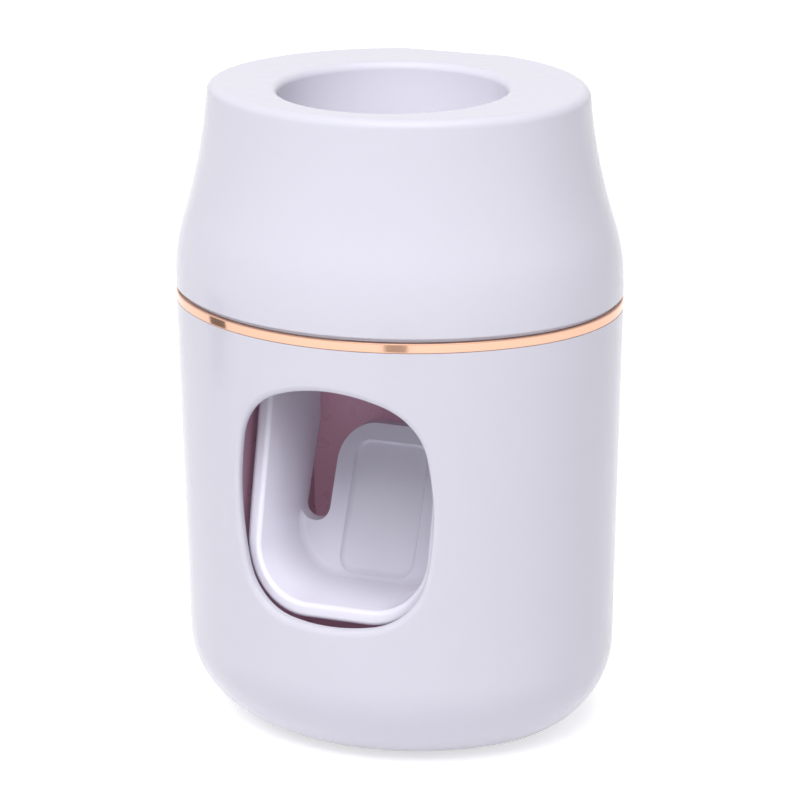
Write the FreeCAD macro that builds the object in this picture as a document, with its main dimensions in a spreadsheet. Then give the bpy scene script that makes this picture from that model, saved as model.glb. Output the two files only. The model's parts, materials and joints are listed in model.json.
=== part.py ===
import FreeCAD, Part
import math
import os

import Sketcher
from FreeCAD import Placement, Rotation, Vector

# Toothpaste dispenser, in millimetres. The brush side faces -Y, +Z is up, and the origin is under the middle of
# the body on the surface that it stands on.

DIMENSIONS = [
    # overall form
    ("half_width", 39.0),
    ("front_depth", 33.7),
    ("back_bulge", 36.1),
    ("side_radius", 29.5),
    ("back_plane", 27.6),
    ("back_edge_radius", 1.5),
    ("seam_height", 75.5),
    ("total_height", 113.0),
    ("wall", 2.0),
    ("wall_draft", 1.3),
    ("base_radius", 16.3),
    ("base_wall", 2.4),
    ("fit_gap", 0.35),
    ("slide_gap", 0.15),
    # collar, trim ring and upper shell
    ("collar_height", 6.0),
    ("collar_wall", 1.6),
    ("collar_root", 3.5),
    ("ring_height", 1.7),
    ("ring_edge", 0.25),
    ("shadow_gap", 0.8),
    ("shoulder_rise", 1.7),
    ("shoulder_radius", 34.0),
    ("flank_radius", 98.0),
    ("top_inset", 5.8),
    ("rim_radius", 1.6),
    ("shelf_height", 1.2),
    ("shelf_depth", 2.5),
    ("filler_radius", 19.4),
    ("filler_back", 2.4),
    ("filler_lip", 1.3),
    ("well_wall", 1.8),
    ("well_depth", 22.0),
    # brush opening
    ("opening_half_width", 17.4),
    ("opening_top", 67.85),
    ("opening_bottom", 26.2),
    ("opening_middle", 47.4),
    ("opening_side_radius", 56.0),
    ("opening_top_radius", 25.0),
    ("opening_bottom_radius", 43.0),
    ("opening_top_corner", 11.5),
    ("opening_bottom_corner", 10.8),
    ("opening_lip", 1.3),
    # back of the housing, rear cover and wall plate
    ("cover_half_width", 19.4),
    ("cover_bottom", 14.0),
    ("cover_top", 70.2),
    ("cover_thick", 1.6),
    ("cover_corner", 3.0),
    ("window_half_width", 14.5),
    ("window_bottom", 19.0),
    ("window_top", 65.6),
    ("window_corner", 4.0),
    ("ledge_thick", 1.6),
    ("ledge_margin", 3.0),
    ("tray_depth", 5.2),
    ("tray_wall", 1.6),
    ("plate_thick", 2.4),
    ("plate_height", 36.0),
    ("plate_travel", 6.0),
    ("pad_thick", 1.2),
    ("hook_spread", 8.0),
    ("hook_pitch", 30.0),
    ("hook_stem", 1.1),
    ("hook_head", 2.3),
    ("hook_head_thick", 1.2),
    # inner liner
    ("liner_half_width", 20.2),
    ("liner_wall", 1.6),
    ("liner_gap", 0.6),
    ("liner_floor", 21.6),
    ("liner_corner", 13.5),
    ("liner_top", 76.0),
    ("liner_back", 5.6),
    ("liner_back_top", 66.0),
    ("tab_x", 24.5),
    ("tab_low", 29.0),
    ("tab_high", 64.0),
    ("tab_radius", 2.6),
    ("tab_thick", 1.6),
    ("tab_y", -17.0),
    # pusher
    ("pivot_y", -16.0),
    ("pivot_height", 71.0),
    ("pivot_radius", 1.0),
    ("pivot_play", 0.05),
    ("pivot_boss", 3.0),
    ("pusher_half_width", 16.8),
    ("pusher_wall", 1.6),
    ("pusher_bottom", 27.1),
    ("pusher_floor", 1.8),
    ("pusher_corner", 11.0),
    ("pusher_top", 74.6),
    ("flange_over", 0.9),
    ("flange_thick", 1.8),
    ("rim_y", -29.0),
    ("rim_foot", 26.0),
    ("rim_slope", 0.25),
    ("tongue_y", -7.0),
    ("tongue_height", 40.0),
    ("tongue_slope", 0.445),
    ("tongue_thick", 2.4),
    ("tongue_half_width", 11.0),
    ("tongue_top", 54.0),
    ("tongue_corner", 6.5),
    ("slot_foot", 37.2),
    ("recess_half_width", 7.0),
    ("recess_bottom", 30.5),
    ("recess_top", 51.0),
    ("recess_depth", 0.8),
    ("recess_corner", 2.5),
    ("scoop_radius", 3.0),
    # pump
    ("pump_height", 45.5),
    ("rod_radius", 4.0),
    ("rod_play", 0.3),
    ("dome_y", 2.56),
    ("plunger_radius", 10.5),
    ("plunger_thick", 1.6),
    ("sleeve_radius", 14.0),
    ("sleeve_wall", 1.6),
    ("cap_y", 18.6),
    ("cap_thick", 2.0),
    ("cap_screw_circle", 15.6),
    ("bellows_radius", 11.4),
    ("bellows_fold", 2.6),
    ("bellows_skin", 0.9),
    ("spring_radius", 5.8),
    ("spring_wire", 0.45),
    ("spring_turns", 4.5),
    # manifold and nozzle
    ("deck_thick", 2.0),
    ("deck_half_width", 24.8),
    ("deck_front", -12.0),
    ("deck_back", 7.0),
    ("deck_screw_x", 22.2),
    ("deck_screw_front", -9.0),
    ("deck_screw_back", 4.0),
    ("cup_radius", 18.6),
    ("cup_wall", 1.6),
    ("cup_height", 9.0),
    ("duct_half_width", 4.4),
    ("duct_drop", 4.4),
    ("nozzle_y", -19.0),
    ("nozzle_radius", 4.2),
    ("nozzle_bottom", 66.2),
    ("riser_y", 18.4),
    ("riser_radius", 2.6),
    ("retainer_height", 2.0),
    ("retainer_bore", 14.5),
    ("neck_radius", 6.2),
    # screws
    ("screw_radius", 0.9),
    ("screw_head_radius", 1.9),
    ("screw_head", 1.0),
    ("screw_length", 6.0),
    ("boss_radius", 2.6),
    ("screw_play", 0.05),
    ("screw_hole_play", 0.15),
    ("ring_play", 0.05),
    ("pin_fit", 0.02),
    ("deck_post", 2.4),
    ("arm_knee", 65.2),
    ("arm_half", 3.4),
    ("arm_bend", 60.0),
    ("arm_corner", 2.5),
    ("slot_corner", 2.0),
    ("ear_thick", 1.5),
    ("pivot_overhang", 0.3),
    ("plunger_gap", 0.4),
    ("soft_gap", 0.2),
    ("spring_gap", 0.2),
    ("riser_half_width", 3.2),
    ("spigot_height", 4.0),
    ("seal_play", 0.05),
    ("seal_height", 1.6),
    ("seal_waist", 0.3),
    ("socket_drop", 1.6),
    ("nozzle_reach", 1.7),
    ("valve_recess", 1.3),
    ("valve_radius", 4.2),
    ("valve_thick", 1.0),
    ("stem_radius", 1.2),
    ("channel_half", 1.8),
    ("paste_hole", 0.9),
    ("seal_skin", 1.5),
    ("funnel_drop", 2.6),
    ("paste_mouth", 2.0),
    ("retainer_wall", 1.3),
    ("retainer_skirt", 4.0),
    ("valve_drop", 3.0),
    ("valve_flange", 0.8),
    ("beak_radius", 2.1),
    ("tip_wall", 0.9),
    ("plate_half_width", 11.2),
]

doc = FreeCAD.newDocument("dispenser")
sheet = doc.addObject("Spreadsheet::Sheet", "Sizes")


class Size:
    """A length that carries both its number and the sheet expression behind it."""

    def __init__(self, value, text):
        self.value = float(value)
        self.text = text

    def __add__(self, other):
        return joined(self, "+", other, self.value + number(other))

    def __radd__(self, other):
        return joined(other, "+", self, number(other) + self.value)

    def __sub__(self, other):
        return joined(self, "-", other, self.value - number(other))

    def __rsub__(self, other):
        return joined(other, "-", self, number(other) - self.value)

    def __mul__(self, other):
        return joined(self, "*", other, self.value * number(other))

    def __rmul__(self, other):
        return joined(other, "*", self, number(other) * self.value)

    def __truediv__(self, other):
        return joined(self, "/", other, self.value / number(other))

    def __neg__(self):
        return Size(-self.value, "(0 - " + self.text + ")")


def number(thing):
    return thing.value if isinstance(thing, Size) else float(thing)


def words(thing):
    return thing.text if isinstance(thing, Size) else repr(float(thing))


def joined(a, sign, b, value):
    return Size(value, "(" + words(a) + " " + sign + " " + words(b) + ")")


def turn_of(rise, run):
    """The angle, in degrees, whose tangent is rise over run."""
    angle = math.degrees(math.atan2(number(rise), number(run)))
    return Size(angle, "atan2(" + words(rise) + "; " + words(run) + ")")


QUARTER_TURN = Size(90, "90 deg")
ZERO = Size(0, "0")
START = 1
END = 2
CENTRE = 3

D = {}
for row, (alias, value) in enumerate(DIMENSIONS, start=1):
    sheet.set("A%d" % row, alias)
    sheet.set("B%d" % row, "%g" % value)
    sheet.setAlias("B%d" % row, alias)
    D[alias] = Size(value, "Sizes." + alias)
doc.recompute()


# --- sketches -------------------------------------------------------------------------------------------------


def bind(thing, prop, size):
    thing.setExpression(prop, words(size))


def new_sketch(body, name, role, shift=(0, 0, 0)):
    """A sketch on one of the body's own origin planes, moved by shift in the sketch's own frame."""
    plane = [item for item in body.Origin.OriginFeatures if item.Role == role][0]
    sk = body.newObject("Sketcher::SketchObject", name)
    sk.AttachmentSupport = [(plane, "")]
    sk.MapMode = "FlatFace"
    sk.AttachmentOffset = Placement(Vector(*[number(s) for s in shift]), Rotation())
    for axis, s in zip("xyz", shift):
        if isinstance(s, Size):
            bind(sk, "AttachmentOffset.Base." + axis, s)
    return sk


def constrain(sk, kind, *args):
    return sk.addConstraint(Sketcher.Constraint(kind, *args))


def measure(sk, kind, args, size):
    """A constraint with a length or an angle that follows the sheet."""
    value = math.radians(number(size)) if kind == "Angle" else number(size)
    index = constrain(sk, kind, *args, value)
    if isinstance(size, Size):
        bind(sk, "Constraints[%d]" % index, size)


def pin(sk, geo, pos, x=None, y=None):
    """Holds a point at x and y, from the sketch's origin."""
    for kind, axis, value in (("DistanceX", -2, x), ("DistanceY", -1, y)):
        if value is None:
            continue
        if isinstance(value, Size) or abs(value) > 1e-9:
            measure(sk, kind, (-1, 1, geo, pos), value)
        else:
            constrain(sk, "PointOnObject", geo, pos, axis)


def line(sk, a, b, guide=False):
    return sk.addGeometry(Part.LineSegment(Vector(a[0], a[1], 0), Vector(b[0], b[1], 0)), guide)


def arc(sk, centre, radius, start, end):
    ring = Part.Circle(Vector(centre[0], centre[1], 0), Vector(0, 0, 1), radius)
    return sk.addGeometry(Part.ArcOfCircle(ring, start, end), False)


def circle(sk, x, y, radius):
    ring = Part.Circle(Vector(number(x), number(y), 0), Vector(0, 0, 1), number(radius))
    geo = sk.addGeometry(ring, False)
    pin(sk, geo, CENTRE, x, y)
    measure(sk, "Radius", (geo,), radius)


def outline(sk, corners):
    """A closed outline through corners (x, y) or (x, y, radius): the corners with a radius are rounded."""
    count = len(corners)
    points = [Vector(number(c[0]), number(c[1]), 0) for c in corners]
    radii = [c[2] if len(c) > 2 else None for c in corners]
    arrive, leave, arcs = [], [], []
    for i, point in enumerate(points):
        if radii[i] is None:
            arrive.append(point)
            leave.append(point)
            arcs.append(None)
            continue
        back = (points[i - 1] - point).normalize()
        ahead = (points[(i + 1) % count] - point).normalize()
        half = back.getAngle(ahead) / 2
        r = number(radii[i])
        reach = r / math.tan(half)
        arrive.append(point + back * reach)
        leave.append(point + ahead * reach)
        middle = point + (back + ahead).normalize() * (r / math.sin(half))
        arcs.append((middle, r))
    sides = [line(sk, leave[i], arrive[(i + 1) % count]) for i in range(count)]
    guides = []
    for i in range(count):
        if radii[i] is None and radii[(i + 1) % count] is None:
            guides.append(None)
        else:
            guides.append(line(sk, points[i], points[(i + 1) % count], True))
    for i in range(count):
        before, after = sides[i - 1], sides[i]
        if arcs[i] is None:
            constrain(sk, "Coincident", before, END, after, START)
            pin(sk, after, START, corners[i][0], corners[i][1])
        else:
            middle, r = arcs[i]
            a0 = math.atan2(arrive[i].y - middle.y, arrive[i].x - middle.x)
            a1 = math.atan2(leave[i].y - middle.y, leave[i].x - middle.x)
            leftward = (points[i] - points[i - 1]).cross(points[(i + 1) % count] - points[i]).z > 0
            first, last = (START, END) if leftward else (END, START)
            if not leftward:
                a0, a1 = a1, a0
            if a1 < a0:
                a1 += 2 * math.pi
            bend = arc(sk, middle, r, a0, a1)
            constrain(sk, "Tangent", before, END, bend, first)
            constrain(sk, "Tangent", bend, last, after, START)
            measure(sk, "Radius", (bend,), radii[i])
    for i in range(count):
        if guides[i] is None:
            continue
        after = (i + 1) % count
        pin(sk, guides[i], START, corners[i][0], corners[i][1])
        pin(sk, guides[i], END, corners[after][0], corners[after][1])
        if radii[i] is not None:
            constrain(sk, "PointOnObject", sides[i], START, guides[i])
        if radii[after] is not None:
            constrain(sk, "PointOnObject", sides[i], END, guides[i])


def box_corners(x0, x1, y0, y1, radius=None):
    tail = () if radius is None else (radius,)
    return [(x0, y0) + tail, (x1, y0) + tail, (x1, y1) + tail, (x0, y1) + tail]


# --- features -------------------------------------------------------------------------------------------------


def new_body(name, base=None):
    body = doc.addObject("PartDesign::Body", name)
    if base is not None:
        body.BaseFeature = base
    return body


def slab(body, name, role, low, high, draw, cut=False):
    """Adds or cuts the outline that draw makes, from low to high along the plane's own axis."""
    facing = -1 if role == "XZ_Plane" else 1
    at = high if (role == "XZ_Plane") != cut else low
    sk = new_sketch(body, name + "_sketch", role, (0, 0, facing * at))
    draw(sk)
    kind = "PartDesign::Pocket" if cut else "PartDesign::Pad"
    feature = body.newObject(kind, name)
    feature.Profile = sk
    feature.Type = "Length"
    bind(feature, "Length", high - low)
    feature.Length = number(high) - number(low)
    feature.Refine = True
    return feature


def turned(body, name, sk, axis):
    """Turns a sketch through a full circle about one of its own axes."""
    feature = body.newObject("PartDesign::Revolution", name)
    feature.Profile = sk
    feature.ReferenceAxis = (sk, [axis])
    feature.Angle = 360
    feature.Refine = True
    return feature


def rounded(body, name, radius, chosen):
    """Rounds the edges of the body's last feature that chosen picks."""
    doc.recompute()
    base = body.Tip
    names = ["Edge%d" % i for i, edge in enumerate(base.Shape.Edges, start=1) if chosen(edge)]
    feature = body.newObject("PartDesign::Fillet", name)
    feature.Base = (base, names)
    bind(feature, "Radius", radius)
    feature.Radius = number(radius)
    return feature


def fused(name, pieces):
    feature = doc.addObject("Part::MultiFuse", name)
    feature.Shapes = pieces
    feature.Refine = True
    return feature


def cut_from(name, base, tool):
    feature = doc.addObject("Part::Cut", name)
    feature.Base = base
    feature.Tool = tool
    feature.Refine = True
    return feature


def common(name, base, tool):
    feature = doc.addObject("Part::Common", name)
    feature.Base = base
    feature.Tool = tool
    feature.Refine = True
    return feature


# --- the oval plan --------------------------------------------------------------------------------------------

side_centre = D["half_width"] - D["side_radius"]


def end_radius(depth):
    """Radius of the end arc that is tangent to both side arcs and reaches out to depth."""
    sides = D["side_radius"]
    return (side_centre * side_centre + depth * depth - sides * sides) / (2 * (depth - sides))


front_radius = end_radius(D["front_depth"])
back_radius = end_radius(D["back_bulge"])
front_centre = front_radius - D["front_depth"]
back_centre = D["back_bulge"] - back_radius


def oval(name, section, back_y=None):
    """A solid whose plan is an oval of four tangent arcs with a flat back. Each arc is a turned form of its own:
    section(sketch, radius, side) draws its upright section, from the arc's centre out to radius."""
    body = new_body(name)
    to_front = turn_of(side_centre, front_centre)
    to_back = turn_of(side_centre, -back_centre)
    short = QUARTER_TURN - to_front
    long = QUARTER_TURN - to_back
    arcs = [
        ("front", "YZ_Plane", front_centre, front_radius, -1, None),
        ("right", "XZ_Plane", side_centre, D["side_radius"], 1, (long, short)),
        ("left", "XZ_Plane", -side_centre, D["side_radius"], -1, (short, long)),
        ("back", "YZ_Plane", back_centre, back_radius, 1, None),
    ]
    for label, role, centre, radius, side, angles in arcs:
        sk = new_sketch(body, name + "_" + label + "_sketch", role, (centre, 0, 0))
        section(sk, radius, side)
        feature = body.newObject("PartDesign::Revolution", name + "_" + label)
        feature.Profile = sk
        feature.ReferenceAxis = (sk, ["V_Axis"])
        feature.Refine = True
        if angles is None:
            feature.Midplane = True
            bind(feature, "Angle", 2 * (to_front if label == "front" else to_back))
        else:
            feature.Type = "TwoAngles"
            bind(feature, "Angle", angles[0])
            bind(feature, "Angle2", angles[1])
    if back_y is not None:
        reach = D["half_width"] + 5
        slab(body, name + "_flat_back", "XZ_Plane", back_y, back_y + D["half_width"],
             lambda sk: outline(sk, box_corners(-reach, reach, -5, D["total_height"] + 10)), cut=True)
    return body


def straight_section(inset, low, high):
    """An upright wall, inset from the plan."""

    def draw(sk, radius, side):
        outline(sk, [(ZERO, low), (side * (radius - inset), low), (side * (radius - inset), high), (ZERO, high)])

    return draw


def tub_section(inset, low, high, corner):
    """The lower body: flat base, large round corner and a wall that drafts inwards as it goes down."""
    slope = D["wall_draft"] / (D["seam_height"] - D["base_radius"])
    lean = turn_of(D["wall_draft"], D["seam_height"] - D["base_radius"])

    def draw(sk, radius, side):
        top_x = radius - inset - (D["seam_height"] - high) * slope
        tilt = math.radians(lean.value)
        r = number(corner)
        low_z = number(low)
        rise = number(high) - low_z - r + r * math.sin(tilt)
        foot_x = top_x.value - slope.value * rise
        middle_x = foot_x - r * math.cos(tilt)
        foot_z = low_z + r - r * math.sin(tilt)
        base = line(sk, (0, low_z), (side * middle_x, low_z))
        if side > 0:
            bend = arc(sk, (middle_x, low_z + r), r, -math.pi / 2, -tilt)
            first, last = START, END
        else:
            bend = arc(sk, (-middle_x, low_z + r), r, math.pi + tilt, 1.5 * math.pi)
            first, last = END, START
        wall = line(sk, (side * foot_x, foot_z), (side * top_x.value, number(high)))
        lid = line(sk, (side * top_x.value, number(high)), (0, number(high)))
        axis = line(sk, (0, number(high)), (0, low_z))
        constrain(sk, "Tangent", base, END, bend, first)
        constrain(sk, "Tangent", bend, last, wall, START)
        for a, b in ((wall, lid), (lid, axis), (axis, base)):
            constrain(sk, "Coincident", a, END, b, START)
        constrain(sk, "Horizontal", base)
        constrain(sk, "Horizontal", lid)
        pin(sk, base, START, 0, low)
        pin(sk, axis, START, 0, high)
        pin(sk, wall, END, side * top_x, None)
        measure(sk, "Radius", (bend,), corner)
        measure(sk, "Angle", (wall,), QUARTER_TURN - side * lean)

    return draw


def shell_section(inset, low, high, rim):
    """The upper shell: upright skirt, round shoulder, hollow flank and a rounded rim."""
    shoulder_z = shell_bottom + D["shoulder_rise"]

    def draw(sk, radius, side):
        edge = radius - inset
        bend_r = D["shoulder_radius"] - inset
        flank_r = D["flank_radius"] + inset
        rim_x = radius - D["top_inset"] - inset
        rim_z = high - rim
        c1 = Vector(edge.value - bend_r.value, shoulder_z.value, 0)
        goal = Vector(rim_x.value, rim_z.value, 0)
        far = goal - c1
        span = bend_r.value + flank_r.value
        cosine = (span ** 2 + far.Length ** 2 - flank_r.value ** 2) / (2 * span * far.Length)
        turn = math.atan2(far.y, far.x) - math.acos(cosine)
        knee = c1 + Vector(math.cos(turn), math.sin(turn), 0) * bend_r.value
        c2 = c1 + Vector(math.cos(turn), math.sin(turn), 0) * span
        out_angle = math.atan2(goal.y - c2.y, goal.x - c2.x)
        low_z = number(low)
        floor_line = line(sk, (0, low_z), (side * edge.value, low_z))
        skirt = line(sk, (side * edge.value, low_z), (side * edge.value, shoulder_z.value))
        if side > 0:
            shoulder = arc(sk, c1, bend_r.value, 0, turn)
            flank = arc(sk, c2, flank_r.value, out_angle % (2 * math.pi), math.pi + turn)
            ends = (START, END, END, START)
        else:
            shoulder = arc(sk, (-c1.x, c1.y), bend_r.value, math.pi - turn, math.pi)
            flank = arc(sk, (-c2.x, c2.y), flank_r.value, -turn, math.pi - out_angle)
            ends = (END, START, START, END)
        corner_x = goal.x
        corner = arc(sk, (side * (corner_x - number(rim)), rim_z.value), number(rim),
                     0 if side > 0 else math.pi / 2, math.pi / 2 if side > 0 else math.pi)
        corner_ends = (START, END) if side > 0 else (END, START)
        lid = line(sk, (side * (corner_x - number(rim)), number(high)), (0, number(high)))
        axis = line(sk, (0, number(high)), (0, low_z))
        constrain(sk, "Coincident", floor_line, END, skirt, START)
        constrain(sk, "Horizontal", floor_line)
        constrain(sk, "Vertical", skirt)
        constrain(sk, "Tangent", skirt, END, shoulder, ends[0])
        constrain(sk, "Tangent", shoulder, ends[1], flank, ends[2])
        constrain(sk, "Coincident", flank, ends[3], corner, corner_ends[0])
        constrain(sk, "Tangent", corner, corner_ends[1], lid, START)
        constrain(sk, "Coincident", lid, END, axis, START)
        constrain(sk, "Coincident", axis, END, floor_line, START)
        constrain(sk, "Horizontal", lid)
        pin(sk, floor_line, START, 0, low)
        pin(sk, skirt, END, side * edge, shoulder_z)
        measure(sk, "Radius", (shoulder,), bend_r)
        measure(sk, "Radius", (flank,), flank_r)
        pin(sk, flank, ends[3], side * rim_x, rim_z)
        measure(sk, "Radius", (corner,), rim)
        pin(sk, axis, START, 0, high)

    return draw


# --- heights and places that several pieces share ------------------------------------------------------------

ring_top = D["seam_height"] + D["ring_height"]
shell_bottom = ring_top + D["shadow_gap"]
collar_top = D["seam_height"] + D["collar_height"]
collar_inset = D["wall"] + D["fit_gap"]
collar_inner = collar_inset + D["collar_wall"]
deck_low = D["liner_top"]
deck_high = deck_low + D["deck_thick"]
cup_top = deck_high + D["cup_height"]
retainer_top = cup_top + D["retainer_height"]
tray_outer_y = D["back_plane"] - D["tray_depth"]
tray_floor_y = tray_outer_y + D["tray_wall"]
plate_y = tray_floor_y + D["fit_gap"]
plate_middle = (D["window_bottom"] + D["window_top"]) / 2 + D["plate_travel"] / 2
hook_rows = (plate_middle - D["hook_pitch"] / 2, plate_middle + D["hook_pitch"] / 2)
cap_back_y = D["cap_y"] + D["cap_thick"]
filler_y = -D["filler_back"]
cap_screws = [(D["cap_screw_circle"] * math.cos(math.radians(a)),
               D["pump_height"] + D["cap_screw_circle"] * math.sin(math.radians(a))) for a in (30, 150, 270)]
cover_screws = [(side * 12.0, height) for side in (-1, 1)
                for height in ((D["cover_bottom"] + D["window_bottom"]) / 2, (D["cover_top"] + D["window_top"]) / 2)]
liner_tabs = [(side * D["tab_x"], height) for side in (-1, 1) for height in (D["tab_low"], D["tab_high"])]
deck_screws = [(side * D["deck_screw_x"], y) for side in (-1, 1)
               for y in (D["deck_screw_front"], D["deck_screw_back"])]


def tongue_front(height):
    """Depth of the tongue's face at a height, on its leaning plane."""
    return D["tongue_y"] + (height - D["tongue_height"]) * D["tongue_slope"]


def rim_front(height):
    """Depth of the pusher's rim at a height, on its leaning plane."""
    return D["rim_y"] + (height - D["rim_foot"]) * D["rim_slope"]


# --- lower housing --------------------------------------------------------------------------------------------


def opening_outline(sk):
    """The brush opening: four shallow arcs joined by four tighter ones."""
    half = D["opening_half_width"].value
    middle = D["opening_middle"].value
    r_side = D["opening_side_radius"].value
    big = []
    spec = [
        ((half - r_side, middle), r_side, D["opening_side_radius"]),
        ((0, D["opening_top"].value - D["opening_top_radius"].value), None, D["opening_top_radius"]),
        ((r_side - half, middle), r_side, D["opening_side_radius"]),
        ((0, D["opening_bottom"].value + D["opening_bottom_radius"].value), None, D["opening_bottom_radius"]),
    ]
    corner_sizes = [D["opening_top_corner"], D["opening_top_corner"],
                    D["opening_bottom_corner"], D["opening_bottom_corner"]]
    centres = []
    for i in range(4):
        a, b = spec[i], spec[(i + 1) % 4]
        r = corner_sizes[i].value
        ca, cb = Vector(*a[0], 0), Vector(*b[0], 0)
        ra, rb = a[2].value - r, b[2].value - r
        apart = (cb - ca).Length
        along = (ra * ra - rb * rb + apart * apart) / (2 * apart)
        off = math.sqrt(ra * ra - along * along)
        unit = (cb - ca).normalize()
        across = Vector(-unit.y, unit.x, 0)
        both = [ca + unit * along + across * off, ca + unit * along - across * off]
        want = Vector((1, -1, -1, 1)[i], (1, 1, -1, -1)[i], 0)
        centres.append(max(both, key=lambda p: (p - Vector(0, middle, 0)).dot(want)))
    for i in range(4):
        centre = Vector(*spec[i][0], 0)
        before = centres[i - 1] - centre
        after = centres[i] - centre
        a0 = math.atan2(before.y, before.x)
        a1 = math.atan2(after.y, after.x)
        if a1 < a0:
            a1 += 2 * math.pi
        big.append(arc(sk, centre, spec[i][2].value, a0, a1))
    for i in range(4):
        start = centres[i] - Vector(*spec[i][0], 0)
        end = centres[i] - Vector(*spec[(i + 1) % 4][0], 0)
        a0 = math.atan2(start.y, start.x)
        a1 = math.atan2(end.y, end.x)
        if a1 < a0:
            a1 += 2 * math.pi
        corner = arc(sk, centres[i], corner_sizes[i].value, a0, a1)
        constrain(sk, "Tangent", big[i], END, corner, START)
        constrain(sk, "Tangent", corner, END, big[(i + 1) % 4], START)
        measure(sk, "Radius", (corner,), corner_sizes[i])
    half_width = D["opening_half_width"]
    pin(sk, big[0], CENTRE, half_width - D["opening_side_radius"], D["opening_middle"])
    pin(sk, big[1], CENTRE, 0, D["opening_top"] - D["opening_top_radius"])
    pin(sk, big[2], CENTRE, D["opening_side_radius"] - half_width, D["opening_middle"])
    pin(sk, big[3], CENTRE, 0, D["opening_bottom"] + D["opening_bottom_radius"])
    for i in range(4):
        measure(sk, "Radius", (big[i],), spec[i][2])


def on_opening(edge, inner):
    """Whether an edge runs round the brush opening, on the outer or the inner face of the wall."""
    box = edge.BoundBox
    if box.YMax > -20 or box.ZMin < D["opening_bottom"].value - 1 or box.ZMax > D["opening_top"].value + 1:
        return False
    if max(abs(box.XMin), abs(box.XMax)) > D["opening_half_width"].value + 1:
        return False
    along = edge.valueAt((edge.FirstParameter + edge.LastParameter) / 2)
    level = (D["seam_height"].value - along.z) * D["wall_draft"].value / (
        D["seam_height"].value - D["base_radius"].value)
    radius = front_radius.value - level
    outside = front_centre.value - math.sqrt(radius ** 2 - along.x ** 2)
    return (abs(along.y - outside) < 0.2) != inner and abs(along.y - outside) < D["wall"].value + 1


def lower_housing():
    outer = oval("housing_outer", tub_section(ZERO, ZERO, D["seam_height"], D["base_radius"]), D["back_plane"])
    rounded(outer, "housing_back_edge", D["back_edge_radius"],
            lambda e: abs(e.BoundBox.YMin - D["back_plane"].value) < 1e-3
            and abs(e.BoundBox.YMax - D["back_plane"].value) < 1e-3
            and e.BoundBox.ZMin < D["seam_height"].value - 1)
    core = oval("housing_core", tub_section(D["wall"], D["base_wall"], D["seam_height"] + 1,
                                            D["base_radius"] - D["wall"]), D["back_plane"] - D["wall"])
    hollow = cut_from("housing_hollow", outer, core)
    root_inset = D["wall"] / 2
    collar_foot = D["seam_height"] - D["collar_root"]
    collar_base = oval("collar_root_ring", straight_section(root_inset, collar_foot, D["seam_height"]),
                       D["back_plane"] - root_inset)
    collar = oval("collar", straight_section(collar_inset, collar_foot, collar_top), D["back_plane"] - collar_inset)
    collar_core = oval("collar_core", straight_section(collar_inner, collar_foot - 1, collar_top + 1),
                       D["back_plane"] - collar_inner)
    posts = new_body("housing_posts")
    slab(posts, "front_posts", "XZ_Plane", -D["front_depth"], D["tab_y"],
         lambda sk: [circle(sk, x, z, D["tab_radius"]) for x, z in liner_tabs])
    limit = oval("post_limit", tub_section(root_inset, root_inset, D["seam_height"], D["base_radius"] - root_inset),
                 D["back_plane"] - root_inset)
    kept_posts = common("housing_kept_posts", posts, limit)
    whole = fused("housing_blank", [hollow, collar_base, collar])
    drilled = cut_from("housing_open", whole, collar_core)
    blank = fused("housing_with_posts", [drilled, kept_posts])
    body = new_body("lower_housing", blank)
    ledge_y = D["back_plane"] - D["wall"] - D["ledge_thick"]
    margin = D["ledge_margin"]
    slab(body, "ledge", "XZ_Plane", ledge_y, D["back_plane"] - D["wall"] + 0.5,
         lambda sk: outline(sk, box_corners(-(D["cover_half_width"] - 0.6), D["cover_half_width"] - 0.6,
                                            D["window_bottom"] - margin, D["window_top"] + margin,
                                            D["window_corner"])))
    slab(body, "cover_posts", "XZ_Plane", D["back_plane"] - D["wall"] - 6.0, D["back_plane"] - D["wall"] + 0.5,
         lambda sk: [circle(sk, x, z, D["boss_radius"]) for x, z in cover_screws])
    slab(body, "cover_rebate", "XZ_Plane", D["back_plane"] - D["cover_thick"], D["back_plane"] + 5,
         lambda sk: outline(sk, box_corners(-D["cover_half_width"], D["cover_half_width"], D["cover_bottom"],
                                            D["cover_top"], D["cover_corner"])), cut=True)
    slab(body, "cover_window", "XZ_Plane", ledge_y - 1, D["back_plane"],
         lambda sk: outline(sk, box_corners(-D["window_half_width"], D["window_half_width"], D["window_bottom"],
                                            D["window_top"], D["window_corner"])), cut=True)
    slab(body, "cover_screw_holes", "XZ_Plane", D["back_plane"] - D["wall"] - 6.0, D["back_plane"],
         lambda sk: [circle(sk, x, z, D["screw_radius"] + D["pivot_play"]) for x, z in cover_screws], cut=True)
    slab(body, "tab_screw_holes", "XZ_Plane", D["tab_y"] - 5.0, D["tab_y"] + 1,
         lambda sk: [circle(sk, x, z, D["screw_radius"] + D["pivot_play"]) for x, z in liner_tabs], cut=True)
    slab(body, "brush_opening", "XZ_Plane", -D["front_depth"] - 5, filler_y - 14, opening_outline, cut=True)
    rounded(body, "opening_outer_lip", D["opening_lip"], lambda e: on_opening(e, False))
    return body



# --- trim ring and upper shell --------------------------------------------------------------------------------


def back_corners(low, back):
    """Picks the upright edges that the flat back leaves."""
    return lambda e: (abs(e.BoundBox.YMin - number(back)) < 1e-3 and abs(e.BoundBox.YMax - number(back)) < 1e-3
                      and e.BoundBox.ZMax - e.BoundBox.ZMin > low)


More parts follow.
